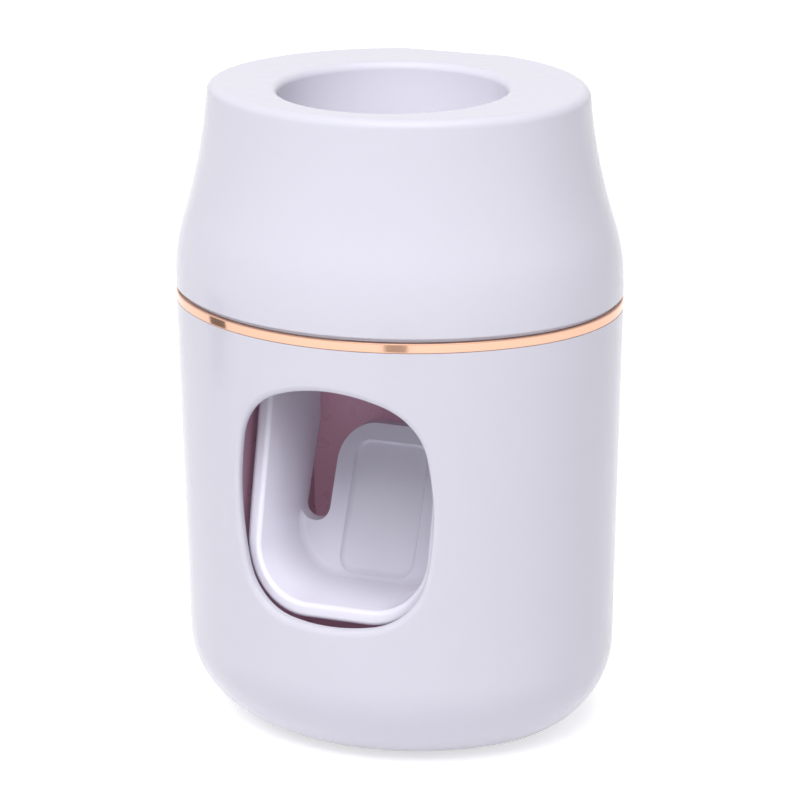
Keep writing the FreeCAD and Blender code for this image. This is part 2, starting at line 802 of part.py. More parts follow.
def trim_ring():
    low, high = D["seam_height"], ring_top
    outer = oval("ring_outer", straight_section(ZERO, low, high), D["back_plane"])
    rounded(outer, "ring_back_corners", D["back_edge_radius"], back_corners(1, D["back_plane"]))
    rounded(outer, "ring_edges", D["ring_edge"], lambda e: e.BoundBox.ZMax - e.BoundBox.ZMin < 1e-3)
    inset = D["wall"] + D["ring_play"]
    core = oval("ring_core", straight_section(inset, low - 1, high + 1), D["back_plane"] - inset)
    return cut_from("trim_ring", outer, core)


def upper_shell():
    top = D["total_height"]
    wall = D["wall"]
    outer = oval("shell_outer", shell_section(ZERO, shell_bottom, top, D["rim_radius"]), D["back_plane"])
    rounded(outer, "shell_back_corners", D["back_edge_radius"], back_corners(1.2, D["back_plane"]))
    core = oval("shell_core", shell_section(wall, shell_bottom - 1, top - wall, D["rim_radius"]),
                D["back_plane"] - wall)
    shell = cut_from("shell_hollow", outer, core)
    shelf_low = collar_top + D["fit_gap"]
    shelf = oval("shell_shelf", straight_section(wall / 2 + 0.5, shelf_low, shelf_low + D["shelf_height"]),
                 D["back_plane"] - wall / 2 - 0.5)
    shelf_core = oval("shelf_core", straight_section(wall / 2 + 0.5 + D["shelf_depth"], shelf_low - 1,
                                                     shelf_low + D["shelf_height"] + 1),
                      D["back_plane"] - wall / 2 - 0.5 - D["shelf_depth"])
    ledge = cut_from("shelf_ring", shelf, shelf_core)
    blank = fused("shell_blank", [shell, ledge])
    body = new_body("upper_shell", blank)
    well_low = top - D["well_depth"]
    slab(body, "well_tube", "XY_Plane", well_low, top - wall / 2,
         lambda sk: circle(sk, ZERO, filler_y, D["filler_radius"] + D["well_wall"]))
    slab(body, "well_bore", "XY_Plane", well_low - 1, top + 1,
         lambda sk: circle(sk, ZERO, filler_y, D["filler_radius"]), cut=True)
    rounded(body, "well_mouth", D["filler_lip"],
            lambda e: e.BoundBox.ZMin > top.value - 1e-3 and abs(e.BoundBox.XMax - D["filler_radius"].value) < 1e-3)
    return body


# --- inner liner ----------------------------------------------------------------------------------------------


def tub_front_view(half, low, high, corner):
    """Front view of a tray: upright sides, flat floor and rounded lower corners."""
    return lambda sk: outline(sk, [(-half, low, corner), (half, low, corner), (half, high), (-half, high)])


def rounded_box(x0, x1, y0, y1, radius=None):
    return lambda sk: outline(sk, box_corners(x0, x1, y0, y1, radius))


def circles(places, radius):
    return lambda sk: [circle(sk, x, y, radius) for x, y in places]


def housing_room(name, top, gap):
    """The space inside the housing's wall, less a clearance to it, up to a height."""
    inset = D["wall"] + gap
    return oval(name, tub_section(inset, D["base_wall"] + gap, top, D["base_radius"] - inset))


def inner_liner():
    half = D["liner_half_width"]
    wall = D["liner_wall"]
    back = D["liner_back"] + wall
    front = -D["front_depth"] - 2
    tray = new_body("liner_tray")
    slab(tray, "tray_outer", "XZ_Plane", front, back,
         tub_front_view(half, D["liner_floor"], D["liner_top"], D["liner_corner"]))
    slab(tray, "tray_inner", "XZ_Plane", front - 1, D["liner_back"],
         tub_front_view(half - wall, D["liner_floor"] + wall, D["liner_top"] + 1, D["liner_corner"] - wall), cut=True)
    slab(tray, "tray_back_top", "XZ_Plane", D["liner_back"] - 1, back + 1,
         rounded_box(wall - half, half - wall, D["liner_back_top"], D["liner_top"] + 1), cut=True)
    for side, label in ((-1, "left"), (1, "right")):
        for height, place in ((D["tab_low"], "low"), (D["tab_high"], "high")):
            r = D["tab_radius"]
            near, far = side * (half - wall / 2), side * (D["tab_x"] + r)
            x0, x1 = (near, far) if side > 0 else (far, near)
            slab(tray, "tab_%s_%s" % (label, place), "XZ_Plane", D["tab_y"], D["tab_y"] + D["tab_thick"],
                 rounded_box(x0, x1, height - r, height + r))
    collar_foot = D["seam_height"] - D["collar_root"]
    room = housing_room("liner_room", collar_foot - D["fit_gap"], D["liner_gap"])
    inset = collar_inner + D["liner_gap"]
    neck = oval("liner_neck_room", straight_section(inset, D["liner_floor"] + 20, D["liner_top"] + 1))
    trimmed = common("liner_trimmed", tray, fused("liner_limits", [room, neck]))
    body = new_body("inner_liner", trimmed)
    middle = D["pump_height"]
    sleeve = D["sleeve_radius"]
    slab(body, "pump_sleeve", "XZ_Plane", D["liner_back"] + wall / 2, D["cap_y"],
         lambda sk: circle(sk, ZERO, middle, sleeve))
    slab(body, "cap_posts", "XZ_Plane", D["liner_back"] + wall / 2, D["cap_y"], circles(cap_screws, D["boss_radius"]))
    slab(body, "pump_bore", "XZ_Plane", back, D["cap_y"] + 1,
         lambda sk: circle(sk, ZERO, middle, sleeve - D["sleeve_wall"]), cut=True)
    slab(body, "rod_hole", "XZ_Plane", D["liner_back"] - 1, back + 1,
         lambda sk: circle(sk, ZERO, middle, D["rod_radius"] + D["rod_play"]), cut=True)
    slab(body, "cap_screw_holes", "XZ_Plane", D["cap_y"] - 5, D["cap_y"] + 1,
         circles(cap_screws, D["screw_radius"] + D["screw_play"]), cut=True)
    slab(body, "tab_holes", "XZ_Plane", D["tab_y"] - 1, D["tab_y"] + D["tab_thick"] + 1,
         circles(liner_tabs, D["screw_radius"] + D["screw_hole_play"]), cut=True)
    pivot = [(D["pivot_y"], D["pivot_height"])]
    for side, label in ((-1, "left"), (1, "right")):
        inner, outer = side * (half - wall / 2), side * (half + wall)
        low, high = (inner, outer) if side > 0 else (outer, inner)
        slab(body, "pivot_boss_" + label, "YZ_Plane", low, high, circles(pivot, D["pivot_boss"]))
    slab(body, "deck_posts", "XY_Plane", D["liner_back_top"], D["liner_top"], circles(deck_screws, D["deck_post"]))
    slab(body, "deck_screw_pilots", "XY_Plane", D["liner_top"] - 5.5, D["liner_top"] + 1,
         circles(deck_screws, D["screw_radius"] + D["screw_play"]), cut=True)
    slab(body, "pivot_hole", "YZ_Plane", -half - wall - 1, half + wall + 1, circles(pivot, pin_seat), cut=True)
    return body


# --- pusher and its pins --------------------------------------------------------------------------------------


def side_view(points):
    """An outline in the side view, from (y, z) pairs."""
    return lambda sk: outline(sk, points)


def pusher():
    half = D["pusher_half_width"]
    wall = D["pusher_wall"]
    low = D["pusher_bottom"]
    top = D["pusher_top"]
    far = D["front_depth"] + 5
    cavity_floor = low + D["pusher_floor"]
    cavity_corner = D["pusher_corner"] - wall
    arm_z = D["arm_knee"]
    arm_front = rim_front(arm_z)
    arm_back = D["pivot_y"] + D["arm_half"]
    back_at = lambda z: tongue_front(z) + D["tongue_thick"]
    side_points = [
        (rim_front(low - 2), low - 2), (back_at(low - 2), low - 2), (back_at(D["tongue_height"] + 12),
        D["tongue_height"] + 12), (back_at(D["tongue_height"] + 12), D["arm_bend"]),
        (arm_back, arm_z + 4), (arm_back, top, D["arm_corner"]), (arm_front, top, D["arm_corner"]), (arm_front, arm_z),
    ]
    cup = new_body("cup_front_view")
    slab(cup, "cup_block", "XZ_Plane", -far, far, tub_front_view(half, low, top + 1, D["pusher_corner"]))
    profile = new_body("cup_side_view")
    slab(profile, "cup_profile", "YZ_Plane", -far, far, side_view(side_points))
    block = common("cup_body", cup, profile)

    edge = new_body("flange_front_view")
    over = D["flange_over"]
    slab(edge, "flange_block", "XZ_Plane", -far, far,
         tub_front_view(half + over, low - over, arm_z + 2, D["pusher_corner"] + over))
    strip = new_body("flange_side_view")
    thick = D["flange_thick"]
    slab(strip, "flange_strip", "YZ_Plane", -far, far, side_view([
        (rim_front(low - 2), low - 2), (rim_front(low - 2) + thick, low - 2),
        (arm_front + thick, arm_z), (arm_front, arm_z)]))
    flange = common("rim_flange", edge, strip)

    pocket = new_body("cavity_front_view")
    slab(pocket, "cavity_block", "XZ_Plane", -far, far, tub_front_view(half - wall, cavity_floor, top + 2, cavity_corner))
    reach = new_body("cavity_side_view")
    slab(reach, "cavity_reach", "YZ_Plane", -far, far, side_view([
        (-far, low - 5), (tongue_front(low - 5), low - 5), (tongue_front(top + 5), top + 5), (-far, top + 5)]))
    cavity = common("cavity_form", pocket, reach)
    scoop = new_body("cavity_scoop", cavity)

    def on_tongue(e):
        ends = [v.Point for v in e.Vertexes] + [e.valueAt((e.FirstParameter + e.LastParameter) / 2)]
        off = [abs(p.y - tongue_front(Size(p.z, "")).value) < 1e-3 for p in ends]
        return all(off) and min(p.z for p in ends) < top.value

    rounded(scoop, "scoop_edge", D["scoop_radius"], on_tongue)

    front_panel = new_body("recess_front_view")
    slab(front_panel, "recess_panel", "XZ_Plane", -far, far,
         rounded_box(-D["recess_half_width"], D["recess_half_width"], D["recess_bottom"], D["recess_top"],
                     D["recess_corner"]))
    layer = new_body("recess_side_view")
    slab(layer, "recess_layer", "YZ_Plane", -far, far, side_view([
        (tongue_front(low) - 0.6, low), (tongue_front(low) + D["recess_depth"], low),
        (tongue_front(arm_z) + D["recess_depth"], arm_z), (tongue_front(arm_z) - 0.6, arm_z)]))
    recess = common("recess_form", front_panel, layer)

    limits = housing_room("pusher_room", top + 1, D["liner_gap"])
    blank = common("pusher_blank", fused("pusher_solid", [block, flange]), limits)
    hollow = cut_from("pusher_hollow", blank, scoop)
    pressed = cut_from("pusher_pressed", hollow, recess)
    body = new_body("pusher", pressed)
    inner = half - wall
    tongue = D["tongue_half_width"]
    slot_corner = D["slot_corner"]
    foot = D["slot_foot"]
    slab(body, "tongue_slots", "XZ_Plane", -far, far, lambda sk: outline(sk, [
        (-inner, foot, slot_corner), (-tongue, foot, slot_corner), (-tongue, D["tongue_top"], D["tongue_corner"]),
        (tongue, D["tongue_top"], D["tongue_corner"]), (tongue, foot, slot_corner), (inner, foot, slot_corner),
        (inner, top + 5), (-inner, top + 5)]), cut=True)
    pivot = [(D["pivot_y"], D["pivot_height"])]
    ear = D["ear_thick"]
    slab(body, "ear_left", "YZ_Plane", -half - ear, -half + wall / 2, circles(pivot, D["pivot_boss"]))
    slab(body, "ear_right", "YZ_Plane", half - wall / 2, half + ear, circles(pivot, D["pivot_boss"]))
    slab(body, "pin_hole", "YZ_Plane", -far, far, circles(pivot, D["pivot_radius"] + D["pivot_play"]), cut=True)
    return body


def pivot_pins():
    inner = D["pusher_half_width"] - D["pusher_wall"] - D["pivot_overhang"]
    outer = D["liner_half_width"] + D["liner_wall"] - 0.2
    pins = []
    for side, label in ((-1, "left"), (1, "right")):
        pin_body = new_body("pin_" + label)
        low, high = (side * inner, side * outer) if side > 0 else (side * outer, side * inner)
        slab(pin_body, "pin_rod_" + label, "YZ_Plane", low, high,
             circles([(D["pivot_y"], D["pivot_height"])], D["pivot_radius"]))
        pins.append(pin_body)
    return gathered("pivot_pins", pins)


def gathered(name, pieces):
    feature = doc.addObject("Part::Compound", name)
    feature.Links = pieces
    return feature


# --- pump -----------------------------------------------------------------------------------------------------


def pump_plunger():
    rod = D["rod_radius"]
    nose = D["dome_y"] - rod
    plate = D["liner_back"] + D["liner_wall"] + D["plunger_gap"]
    thick = D["plunger_thick"]
    body = new_body("pump_plunger")
    sk = new_sketch(body, "plunger_section", "YZ_Plane", (ZERO, D["pump_height"], ZERO))
    ends = [(nose, ZERO), (D["dome_y"], rod), (plate, rod), (plate, D["plunger_radius"]),
            (plate + thick, D["plunger_radius"]), (plate + thick, ZERO)]
    points = [Vector(number(a), number(b), 0) for a, b in ends]
    dome = arc(sk, (D["dome_y"].value, 0), rod.value, math.pi / 2, math.pi)
    sides = [line(sk, points[i], points[(i + 1) % 6]) for i in range(1, 6)]
    constrain(sk, "Coincident", dome, START, sides[0], START)
    for a, b in zip(sides, sides[1:]):
        constrain(sk, "Coincident", a, END, b, START)
    constrain(sk, "Coincident", sides[-1], END, dome, END)
    pin(sk, dome, CENTRE, D["dome_y"], 0)
    pin(sk, dome, END, None, 0)
    for side, place in zip(sides, ends[1:]):
        pin(sk, side, START, place[0], 0 if place[1] is ZERO else place[1])
    turned(body, "plunger_turned", sk, "H_Axis")
    return body


bellows_front = D["liner_back"] + D["liner_wall"] + D["plunger_gap"] + D["plunger_thick"] + D["soft_gap"]
bellows_back = D["cap_y"] - D["soft_gap"]


def pump_bellows():
    """Silicone bellows: closed front, three folds and a flange that the end cap clamps."""
    skin = D["bellows_skin"]
    out, fold = D["bellows_radius"], D["bellows_fold"]
    front, back = bellows_front, bellows_back
    step = (back - skin - front) / 6
    flange = D["sleeve_radius"] - D["sleeve_wall"] - D["soft_gap"]
    outside = [(front, ZERO)]
    inside = [(front + skin, ZERO)]
    for i in range(6):
        at = front + step * i
        r = out if i % 2 else out - fold
        outside.append((at, r))
        inside.append((at + (skin if i == 0 else 0), r - skin))
    rim = back - skin
    neck = out - fold - skin
    points = outside + [(rim, out - fold), (rim, flange), (back, flange), (back, neck), (rim, neck)]
    points += list(reversed(inside))
    body = new_body("pump_bellows")
    sk = new_sketch(body, "bellows_section", "YZ_Plane", (ZERO, D["pump_height"], ZERO))
    outline(sk, points)
    turned(body, "bellows_turned", sk, "H_Axis")
    return body


def return_spring():
    """Steel spring inside the bellows: one helix tube round the pump's axis."""
    wire = D["spring_wire"]
    front = bellows_front + D["bellows_skin"] + wire + D["spring_gap"]
    back = D["cap_y"] - wire - D["spring_gap"]
    helix = doc.addObject("Part::Helix", "spring_path")
    bind(helix, "Height", back - front)
    bind(helix, "Pitch", (back - front) / D["spring_turns"])
    bind(helix, "Radius", D["spring_radius"])
    section = doc.addObject("Part::RegularPolygon", "spring_wire_section")
    section.Polygon = 6
    bind(section, "Circumradius", wire)
    section.Placement = Placement(Vector(D["spring_radius"].value, 0, 0), Rotation(Vector(1, 0, 0), 90))
    bind(section, "Placement.Base.x", D["spring_radius"])
    doc.recompute()
    sweep = doc.addObject("Part::Sweep", "return_spring")
    sweep.Sections = [section]
    sweep.Spine = (helix, ["Edge1"])
    sweep.Solid = True
    sweep.Frenet = True
    sweep.Placement = Placement(Vector(0, front.value, D["pump_height"].value), Rotation(Vector(1, 0, 0), -90))
    bind(sweep, "Placement.Base.y", front)
    bind(sweep, "Placement.Base.z", D["pump_height"])
    return sweep


def pump_end_cap():
    body = new_body("pump_end_cap")
    middle = D["pump_height"]
    front, back = D["cap_y"], cap_back_y
    slab(body, "cap_disc", "XZ_Plane", front, back, lambda sk: circle(sk, ZERO, middle, D["sleeve_radius"]))
    slab(body, "cap_ears", "XZ_Plane", front, back, circles(cap_screws, D["boss_radius"]))
    neck = D["riser_half_width"]
    slab(body, "riser_neck", "XZ_Plane", front, back, rounded_box(-neck, neck, middle, middle + D["sleeve_radius"] + 2))
    riser_foot = middle + D["sleeve_radius"] + D["fit_gap"]
    slab(body, "riser_block", "XY_Plane", riser_foot, riser_head,
         rounded_box(-neck, neck, D["riser_y"] - neck + 0.4, back))
    slab(body, "riser_spigot", "XY_Plane", riser_head - 1, riser_head + D["spigot_height"],
         circles([(ZERO, D["riser_y"])], D["riser_radius"]))
    slab(body, "riser_bore", "XY_Plane", riser_foot + 2, riser_head + D["spigot_height"] + 1,
         circles([(ZERO, D["riser_y"])], D["riser_radius"] - 1.2), cut=True)
    slab(body, "riser_feed", "XY_Plane", middle, riser_foot + 3,
         circles([(ZERO, D["cap_y"] + D["cap_thick"] / 2)], D["cap_thick"] * 0.3), cut=True)
    slab(body, "riser_port", "XZ_Plane", front - 1, front + D["cap_thick"] / 2,
         circles([(ZERO, middle)], D["cap_thick"] * 0.3), cut=True)
    slab(body, "ear_holes", "XZ_Plane", front - 1, back + 1,
         circles(cap_screws, D["screw_radius"] + D["screw_hole_play"]), cut=True)
    return body


def riser_seal():
    """Silicone ring round the spigot, with a waist that leaves a lip at each end."""
    body = new_body("riser_seal")
    middle = riser_head + D["spigot_height"] / 2
    inner = D["riser_radius"] + D["seal_play"]
    outer = socket_radius - D["seal_play"]
    reach = D["seal_height"] / 2
    sk = new_sketch(body, "riser_seal_section", "XZ_Plane", (ZERO, middle, -D["riser_y"]))
    outline(sk, [(inner, -reach), (outer, -reach), (outer - D["seal_waist"], 0), (outer, reach), (inner, reach)])
    turned(body, "riser_seal_turned", sk, "V_Axis")
    return body


# --- manifold, seals and nozzle -------------------------------------------------------------------------------


def upright_turned(name, y, points):
    """A piece turned about the upright axis at y, from (radius, z) pairs."""
    body = new_body(name)
    sk = new_sketch(body, name + "_section", "XZ_Plane", (ZERO, ZERO, -y))
    outline(sk, points)
    turned(body, name + "_turned", sk, "V_Axis")
    return body


duct_low = deck_low - D["duct_drop"]
nozzle_spigot = duct_low - D["nozzle_reach"]
socket_radius = D["riser_radius"] + 1.0
riser_head = duct_low - D["socket_drop"] - D["fit_gap"]


def paste_manifold():
    body = new_body("paste_manifold")
    duct = D["duct_half_width"]
    slab(body, "deck", "XY_Plane", deck_low, deck_high,
         rounded_box(-D["deck_half_width"], D["deck_half_width"], D["deck_front"], D["deck_back"], D["cover_corner"]))
    slab(body, "cup_outer", "XY_Plane", deck_low, cup_top, circles([(ZERO, filler_y)], D["cup_radius"]))
    slab(body, "duct", "XY_Plane", duct_low, deck_low + 0.5,
         rounded_box(-duct, duct, D["nozzle_y"] - duct, D["riser_y"] + duct - 0.6, duct - 1.0))
    slab(body, "nozzle_spigot", "XY_Plane", nozzle_spigot, duct_low + 0.5,
         circles([(ZERO, D["nozzle_y"])], D["nozzle_radius"]))
    slab(body, "riser_socket", "XY_Plane", duct_low - D["socket_drop"], duct_low + 0.5,
         circles([(ZERO, D["riser_y"])], duct - 0.4))
    slab(body, "cup_inner", "XY_Plane", deck_high, cup_top + 1,
         circles([(ZERO, filler_y)], D["cup_radius"] - D["cup_wall"]), cut=True)
    slab(body, "valve_recess", "XY_Plane", deck_high - D["valve_recess"], deck_high + 1,
         circles([(ZERO, filler_y)], D["valve_radius"] + D["fit_gap"]), cut=True)
    slab(body, "paste_channel", "XY_Plane", duct_low + 1.2, deck_low - 0.8,
         rounded_box(D["channel_half"] * -1, D["channel_half"], D["nozzle_y"] - D["channel_half"], D["riser_y"]),
         cut=True)
    slab(body, "paste_holes", "XY_Plane", deck_low - 1.5, deck_high,
         circles([(ZERO, filler_y - 2.6), (ZERO, filler_y + 2.6)], D["paste_hole"]), cut=True)
    slab(body, "stem_hole", "XY_Plane", deck_low - 1.5, deck_high,
         circles([(ZERO, filler_y)], D["stem_radius"] + D["seal_play"]), cut=True)
    slab(body, "nozzle_bore", "XY_Plane", nozzle_spigot - 1, duct_low + 2,
         circles([(ZERO, D["nozzle_y"])], D["nozzle_radius"] - 1.6), cut=True)
    slab(body, "socket_bore", "XY_Plane", duct_low - D["socket_drop"] - 1, duct_low + 2.5,
         circles([(ZERO, D["riser_y"])], socket_radius), cut=True)
    slab(body, "deck_holes", "XY_Plane", deck_low - 1, deck_high + 1,
         circles(deck_screws, D["screw_radius"] + D["screw_hole_play"]), cut=True)
    return body


def neck_seal():
    """Silicone funnel: it grips the neck of the tube and lets paste into the valve."""
    low = deck_high + D["soft_gap"]
    out = D["cup_radius"] - D["cup_wall"] - D["soft_gap"]
    top = cup_top - D["soft_gap"]
    skin = D["seal_skin"]
    neck = D["neck_radius"]
    return upright_turned("neck_seal", filler_y, [
        (D["paste_mouth"], low), (out, low), (out, top), (out - skin, top), (neck, top - D["funnel_drop"]),
        (neck, low + skin), (D["paste_mouth"], low + skin)])


def seal_retainer():
    skirt = D["cup_radius"] + D["slide_gap"]
    out = skirt + D["retainer_wall"]
    low = cup_top - D["retainer_skirt"]
    return upright_turned("seal_retainer", filler_y, [
        (skirt, low), (out, low), (out, retainer_top, D["ring_edge"]), (D["retainer_bore"], retainer_top),
        (D["retainer_bore"], cup_top), (skirt, cup_top)])


def inlet_valve():
    top = deck_high - 0.1
    stem = D["stem_radius"]
    return upright_turned("inlet_valve", filler_y, [
        (ZERO, deck_low - 1.9), (stem, deck_low - 1.9), (stem, top - D["valve_thick"]),
        (D["valve_radius"], top - D["valve_thick"]), (D["valve_radius"], top - D["valve_thick"] / 2), (ZERO, top)])


def outlet_valve():
    top = nozzle_spigot - D["seal_play"]
    flange = D["nozzle_radius"] - 0.2
    return upright_turned("outlet_valve", D["nozzle_y"], [
        (ZERO, top - D["valve_drop"]), (D["beak_radius"] / 2, top - D["valve_drop"]),
        (D["beak_radius"], top - D["valve_flange"]), (flange, top - D["valve_flange"]), (flange, top),
        (D["beak_radius"] - 0.7, top), (ZERO, top - D["valve_drop"] + 0.8)])


def nozzle_tip():
    inner = D["nozzle_radius"] + D["slide_gap"]
    out = inner + D["tip_wall"]
    ledge = nozzle_spigot - D["seal_play"] * 2 - D["valve_flange"]
    top = duct_low - D["slide_gap"]
    bore = D["beak_radius"] + D["fit_gap"]
    return upright_turned("nozzle_tip", D["nozzle_y"], [
        (bore, D["nozzle_bottom"]), (bore + 1.0, D["nozzle_bottom"]), (out, ledge), (out, top), (inner, top),
        (inner, ledge), (bore, ledge)])


# --- back: cover, wall plate, pad -----------------------------------------------------------------------------


def rear_cover():
    body = new_body("rear_cover")
    play = D["slide_gap"]
    gap = D["fit_gap"]
    wall = D["tray_wall"]
    corner = D["window_corner"] - gap
    half, low, high = D["window_half_width"] - gap, D["window_bottom"] + gap, D["window_top"] - gap
    face = D["back_plane"]
    slab(body, "cover_plate", "XZ_Plane", face - D["cover_thick"], face,
         rounded_box(play - D["cover_half_width"], D["cover_half_width"] - play, D["cover_bottom"] + play,
                     D["cover_top"] - play, D["cover_corner"] - play))
    slab(body, "tray", "XZ_Plane", tray_outer_y, face - 0.5, rounded_box(-half, half, low, high, corner))
    slab(body, "tray_room", "XZ_Plane", tray_floor_y, face + 1,
         rounded_box(wall - half, half - wall, low + wall, high - wall, corner - wall), cut=True)
    stem = D["hook_stem"] + gap
    for side, label in ((-1, "left"), (1, "right")):
        for place, row in zip(("low", "high"), hook_rows):
            x = side * D["hook_spread"]
            slab(body, "keyway_%s_%s" % (label, place), "XZ_Plane", tray_outer_y - 1, tray_floor_y + 1,
                 rounded_box(x - stem, x + stem, row - D["plate_travel"], row + stem, stem * 0.7), cut=True)
    eyes = [(side * D["hook_spread"], row - D["plate_travel"]) for side in (-1, 1) for row in hook_rows]
    slab(body, "keyhole_eyes", "XZ_Plane", tray_outer_y - 1, tray_floor_y + 1,
         circles(eyes, D["hook_head"] + gap), cut=True)
    slab(body, "cover_holes", "XZ_Plane", face - D["cover_thick"] - 1, face + 1,
         circles(cover_screws, D["screw_radius"] + D["screw_hole_play"]), cut=True)
    slab(body, "cover_sinks", "XZ_Plane", face - D["screw_head"] - 0.1, face + 1,
         circles(cover_screws, D["screw_head_radius"] + D["screw_hole_play"]), cut=True)
    return body


def plate_outline(sk):
    half = D["plate_half_width"]
    reach = D["plate_height"] / 2
    outline(sk, box_corners(-half, half, plate_middle - reach, plate_middle + reach, D["cover_corner"]))


def wall_plate():
    body = new_body("wall_plate")
    slab(body, "plate", "XZ_Plane", plate_y, plate_y + D["plate_thick"], plate_outline)
    hooks = [(side * D["hook_spread"], row) for side in (-1, 1) for row in hook_rows]
    head_y = tray_outer_y - D["fit_gap"]
    slab(body, "hook_stems", "XZ_Plane", head_y - D["hook_head_thick"] / 2, plate_y + 0.5,
         circles(hooks, D["hook_stem"]))
    slab(body, "hook_heads", "XZ_Plane", head_y - D["hook_head_thick"], head_y, circles(hooks, D["hook_head"]))
    return body


def adhesive_pad():
    body = new_body("adhesive_pad")
    low = plate_y + D["plate_thick"]
    slab(body, "pad", "XZ_Plane", low, low + D["pad_thick"], plate_outline)
    return body


# --- screws ---------------------------------------------------------------------------------------------------


def screws(name, places, seat, direction):
    """Pan head screws. Each head rests at seat and its shank points along direction, which is -Z, -Y or +Y."""
    pieces = []
    length = D["screw_length"]
    head = D["screw_head"]
    upright = direction == "-Z"
    for i, place in enumerate(places, start=1):
        body = new_body("%s_%d" % (name, i))
        if upright:
            sk = new_sketch(body, "%s_%d_section" % (name, i), "XZ_Plane", (place[0], seat, -place[1]))
            points = [(0, -length), (D["screw_radius"], -length), (D["screw_radius"], 0),
                      (D["screw_head_radius"], 0), (D["screw_head_radius"], head), (0, head)]
            axis = "V_Axis"
        else:
            sk = new_sketch(body, "%s_%d_section" % (name, i), "YZ_Plane", (seat, place[1], place[0]))
            points = [(-length, 0), (head, 0), (head, D["screw_head_radius"]), (0, D["screw_head_radius"]),
                      (0, D["screw_radius"]), (-length, D["screw_radius"])]
            axis = "H_Axis"
        outline(sk, points)
        turned(body, "%s_%d_turned" % (name, i), sk, axis)
        pieces.append(body)
    return gathered(name, pieces)


# --- the whole dispenser --------------------------------------------------------------------------------------

pin_seat = D["pivot_radius"] + D["pin_fit"]

NODES = [
    lower_housing(),
    trim_ring(),
    upper_shell(),
    inner_liner(),
    pusher(),
    pivot_pins(),
    pump_plunger(),
    pump_bellows(),
    return_spring(),
    pump_end_cap(),
    riser_seal(),
    paste_manifold(),
    neck_seal(),
    seal_retainer(),
    inlet_valve(),
    outlet_valve(),
    nozzle_tip(),
    rear_cover(),
    wall_plate(),
    adhesive_pad(),
    screws("liner_screws", liner_tabs, D["tab_y"] + D["tab_thick"], "-Y"),
    screws("end_cap_screws", cap_screws, cap_back_y, "-Y"),
    screws("deck_screws", deck_screws, deck_high, "-Z"),
    screws("cover_screws", cover_screws, D["back_plane"] - D["screw_head"] - 0.1, "-Y"),
]

doc.recompute()
faults = [o.Name for o in doc.Objects if "Invalid" in o.State or "Error" in o.State]
for node in NODES:
    shape = node.Shape
    if shape.isNull() or not shape.isValid() or not shape.Solids or shape.Volume <= 0:
        faults.append(node.Name + " shape")
if faults:
    raise RuntimeError("faulty: " + ", ".join(faults))

os.makedirs("parts", exist_ok=True)
for node in NODES:
    node.Label = node.Name
    node.Shape.exportStep("parts/" + node.Name + ".step")
    print("%-16s solids %d  volume %9.2f" % (node.Name, len(node.Shape.Solids), node.Shape.Volume))
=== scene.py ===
import json
import math

import bmesh
import bpy
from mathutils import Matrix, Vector


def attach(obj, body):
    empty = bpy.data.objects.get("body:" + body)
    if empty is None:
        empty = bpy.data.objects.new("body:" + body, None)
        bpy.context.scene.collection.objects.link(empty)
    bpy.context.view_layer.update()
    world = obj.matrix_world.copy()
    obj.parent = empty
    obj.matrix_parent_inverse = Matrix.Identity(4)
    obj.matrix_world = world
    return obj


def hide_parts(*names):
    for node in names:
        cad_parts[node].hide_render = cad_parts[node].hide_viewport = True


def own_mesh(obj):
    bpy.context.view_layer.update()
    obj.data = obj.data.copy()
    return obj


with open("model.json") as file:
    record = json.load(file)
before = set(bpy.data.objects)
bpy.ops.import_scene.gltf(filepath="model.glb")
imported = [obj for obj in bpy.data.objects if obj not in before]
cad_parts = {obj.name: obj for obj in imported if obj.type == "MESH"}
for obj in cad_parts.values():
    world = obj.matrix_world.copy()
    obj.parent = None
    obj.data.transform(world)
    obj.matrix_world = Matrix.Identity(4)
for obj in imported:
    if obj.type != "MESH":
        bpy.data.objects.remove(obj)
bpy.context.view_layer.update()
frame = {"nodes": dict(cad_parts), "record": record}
nodes = frame["nodes"]
bpy.ops.object.select_all(action="DESELECT")

MM = 0.001

# Sizes of the moulded shells, in millimetres. Insets are measured inwards from the oval plan at the seam.
HALF_WIDTH = 39.0
FRONT_DEPTH = 33.7
BACK_BULGE = 36.1
SIDE_RADIUS = 29.5
BACK_PLANE = 27.6
SEAM = 75.5
BASE_RADIUS = 16.3
DRAFT = 1.3
WALL = 2.0
BASE_WALL = 2.4
RING_TOP = 77.2
RING_EDGE = 0.25
RING_INSET = WALL + 0.05
SHELL_BOTTOM = 78.0
SHELL_TOP = 113.0
SHOULDER_RISE = 1.7
SHOULDER_RADIUS = 34.0
FLANK_RADIUS = 98.0
TOP_INSET = 5.8
RIM_RADIUS = 1.6
COLLAR_TOP = 81.5
WELL_RADIUS = 19.4
WELL_Y = -2.4
WELL_BOTTOM = 91.0
WELL_WALL = 1.8
WELL_LIP = 1.3

# Fineness of the meshes: degrees between an oval's facets, steps of a full turn, and the distance in metres
# at which points merge.
OVAL_STEP = 1.6
WELL_STEPS = 160
SOFT_STEPS = 96
MERGE = 2e-6

SIDE_CENTRE = HALF_WIDTH - SIDE_RADIUS


def end_radius(depth):
    """Radius of the front or back arc that runs into both side arcs and reaches to depth."""
    return (SIDE_CENTRE**2 + depth**2 - SIDE_RADIUS**2) / (2 * (depth - SIDE_RADIUS))


FRONT_RADIUS = end_radius(FRONT_DEPTH)
BACK_RADIUS = end_radius(BACK_BULGE)
FRONT_CENTRE = FRONT_RADIUS - FRONT_DEPTH
BACK_CENTRE = BACK_BULGE - BACK_RADIUS
TO_FRONT = math.atan2(SIDE_CENTRE, FRONT_CENTRE)
TO_BACK = math.atan2(SIDE_CENTRE, -BACK_CENTRE)


# --- modelling by hand ----------------------------------------------------------------------------


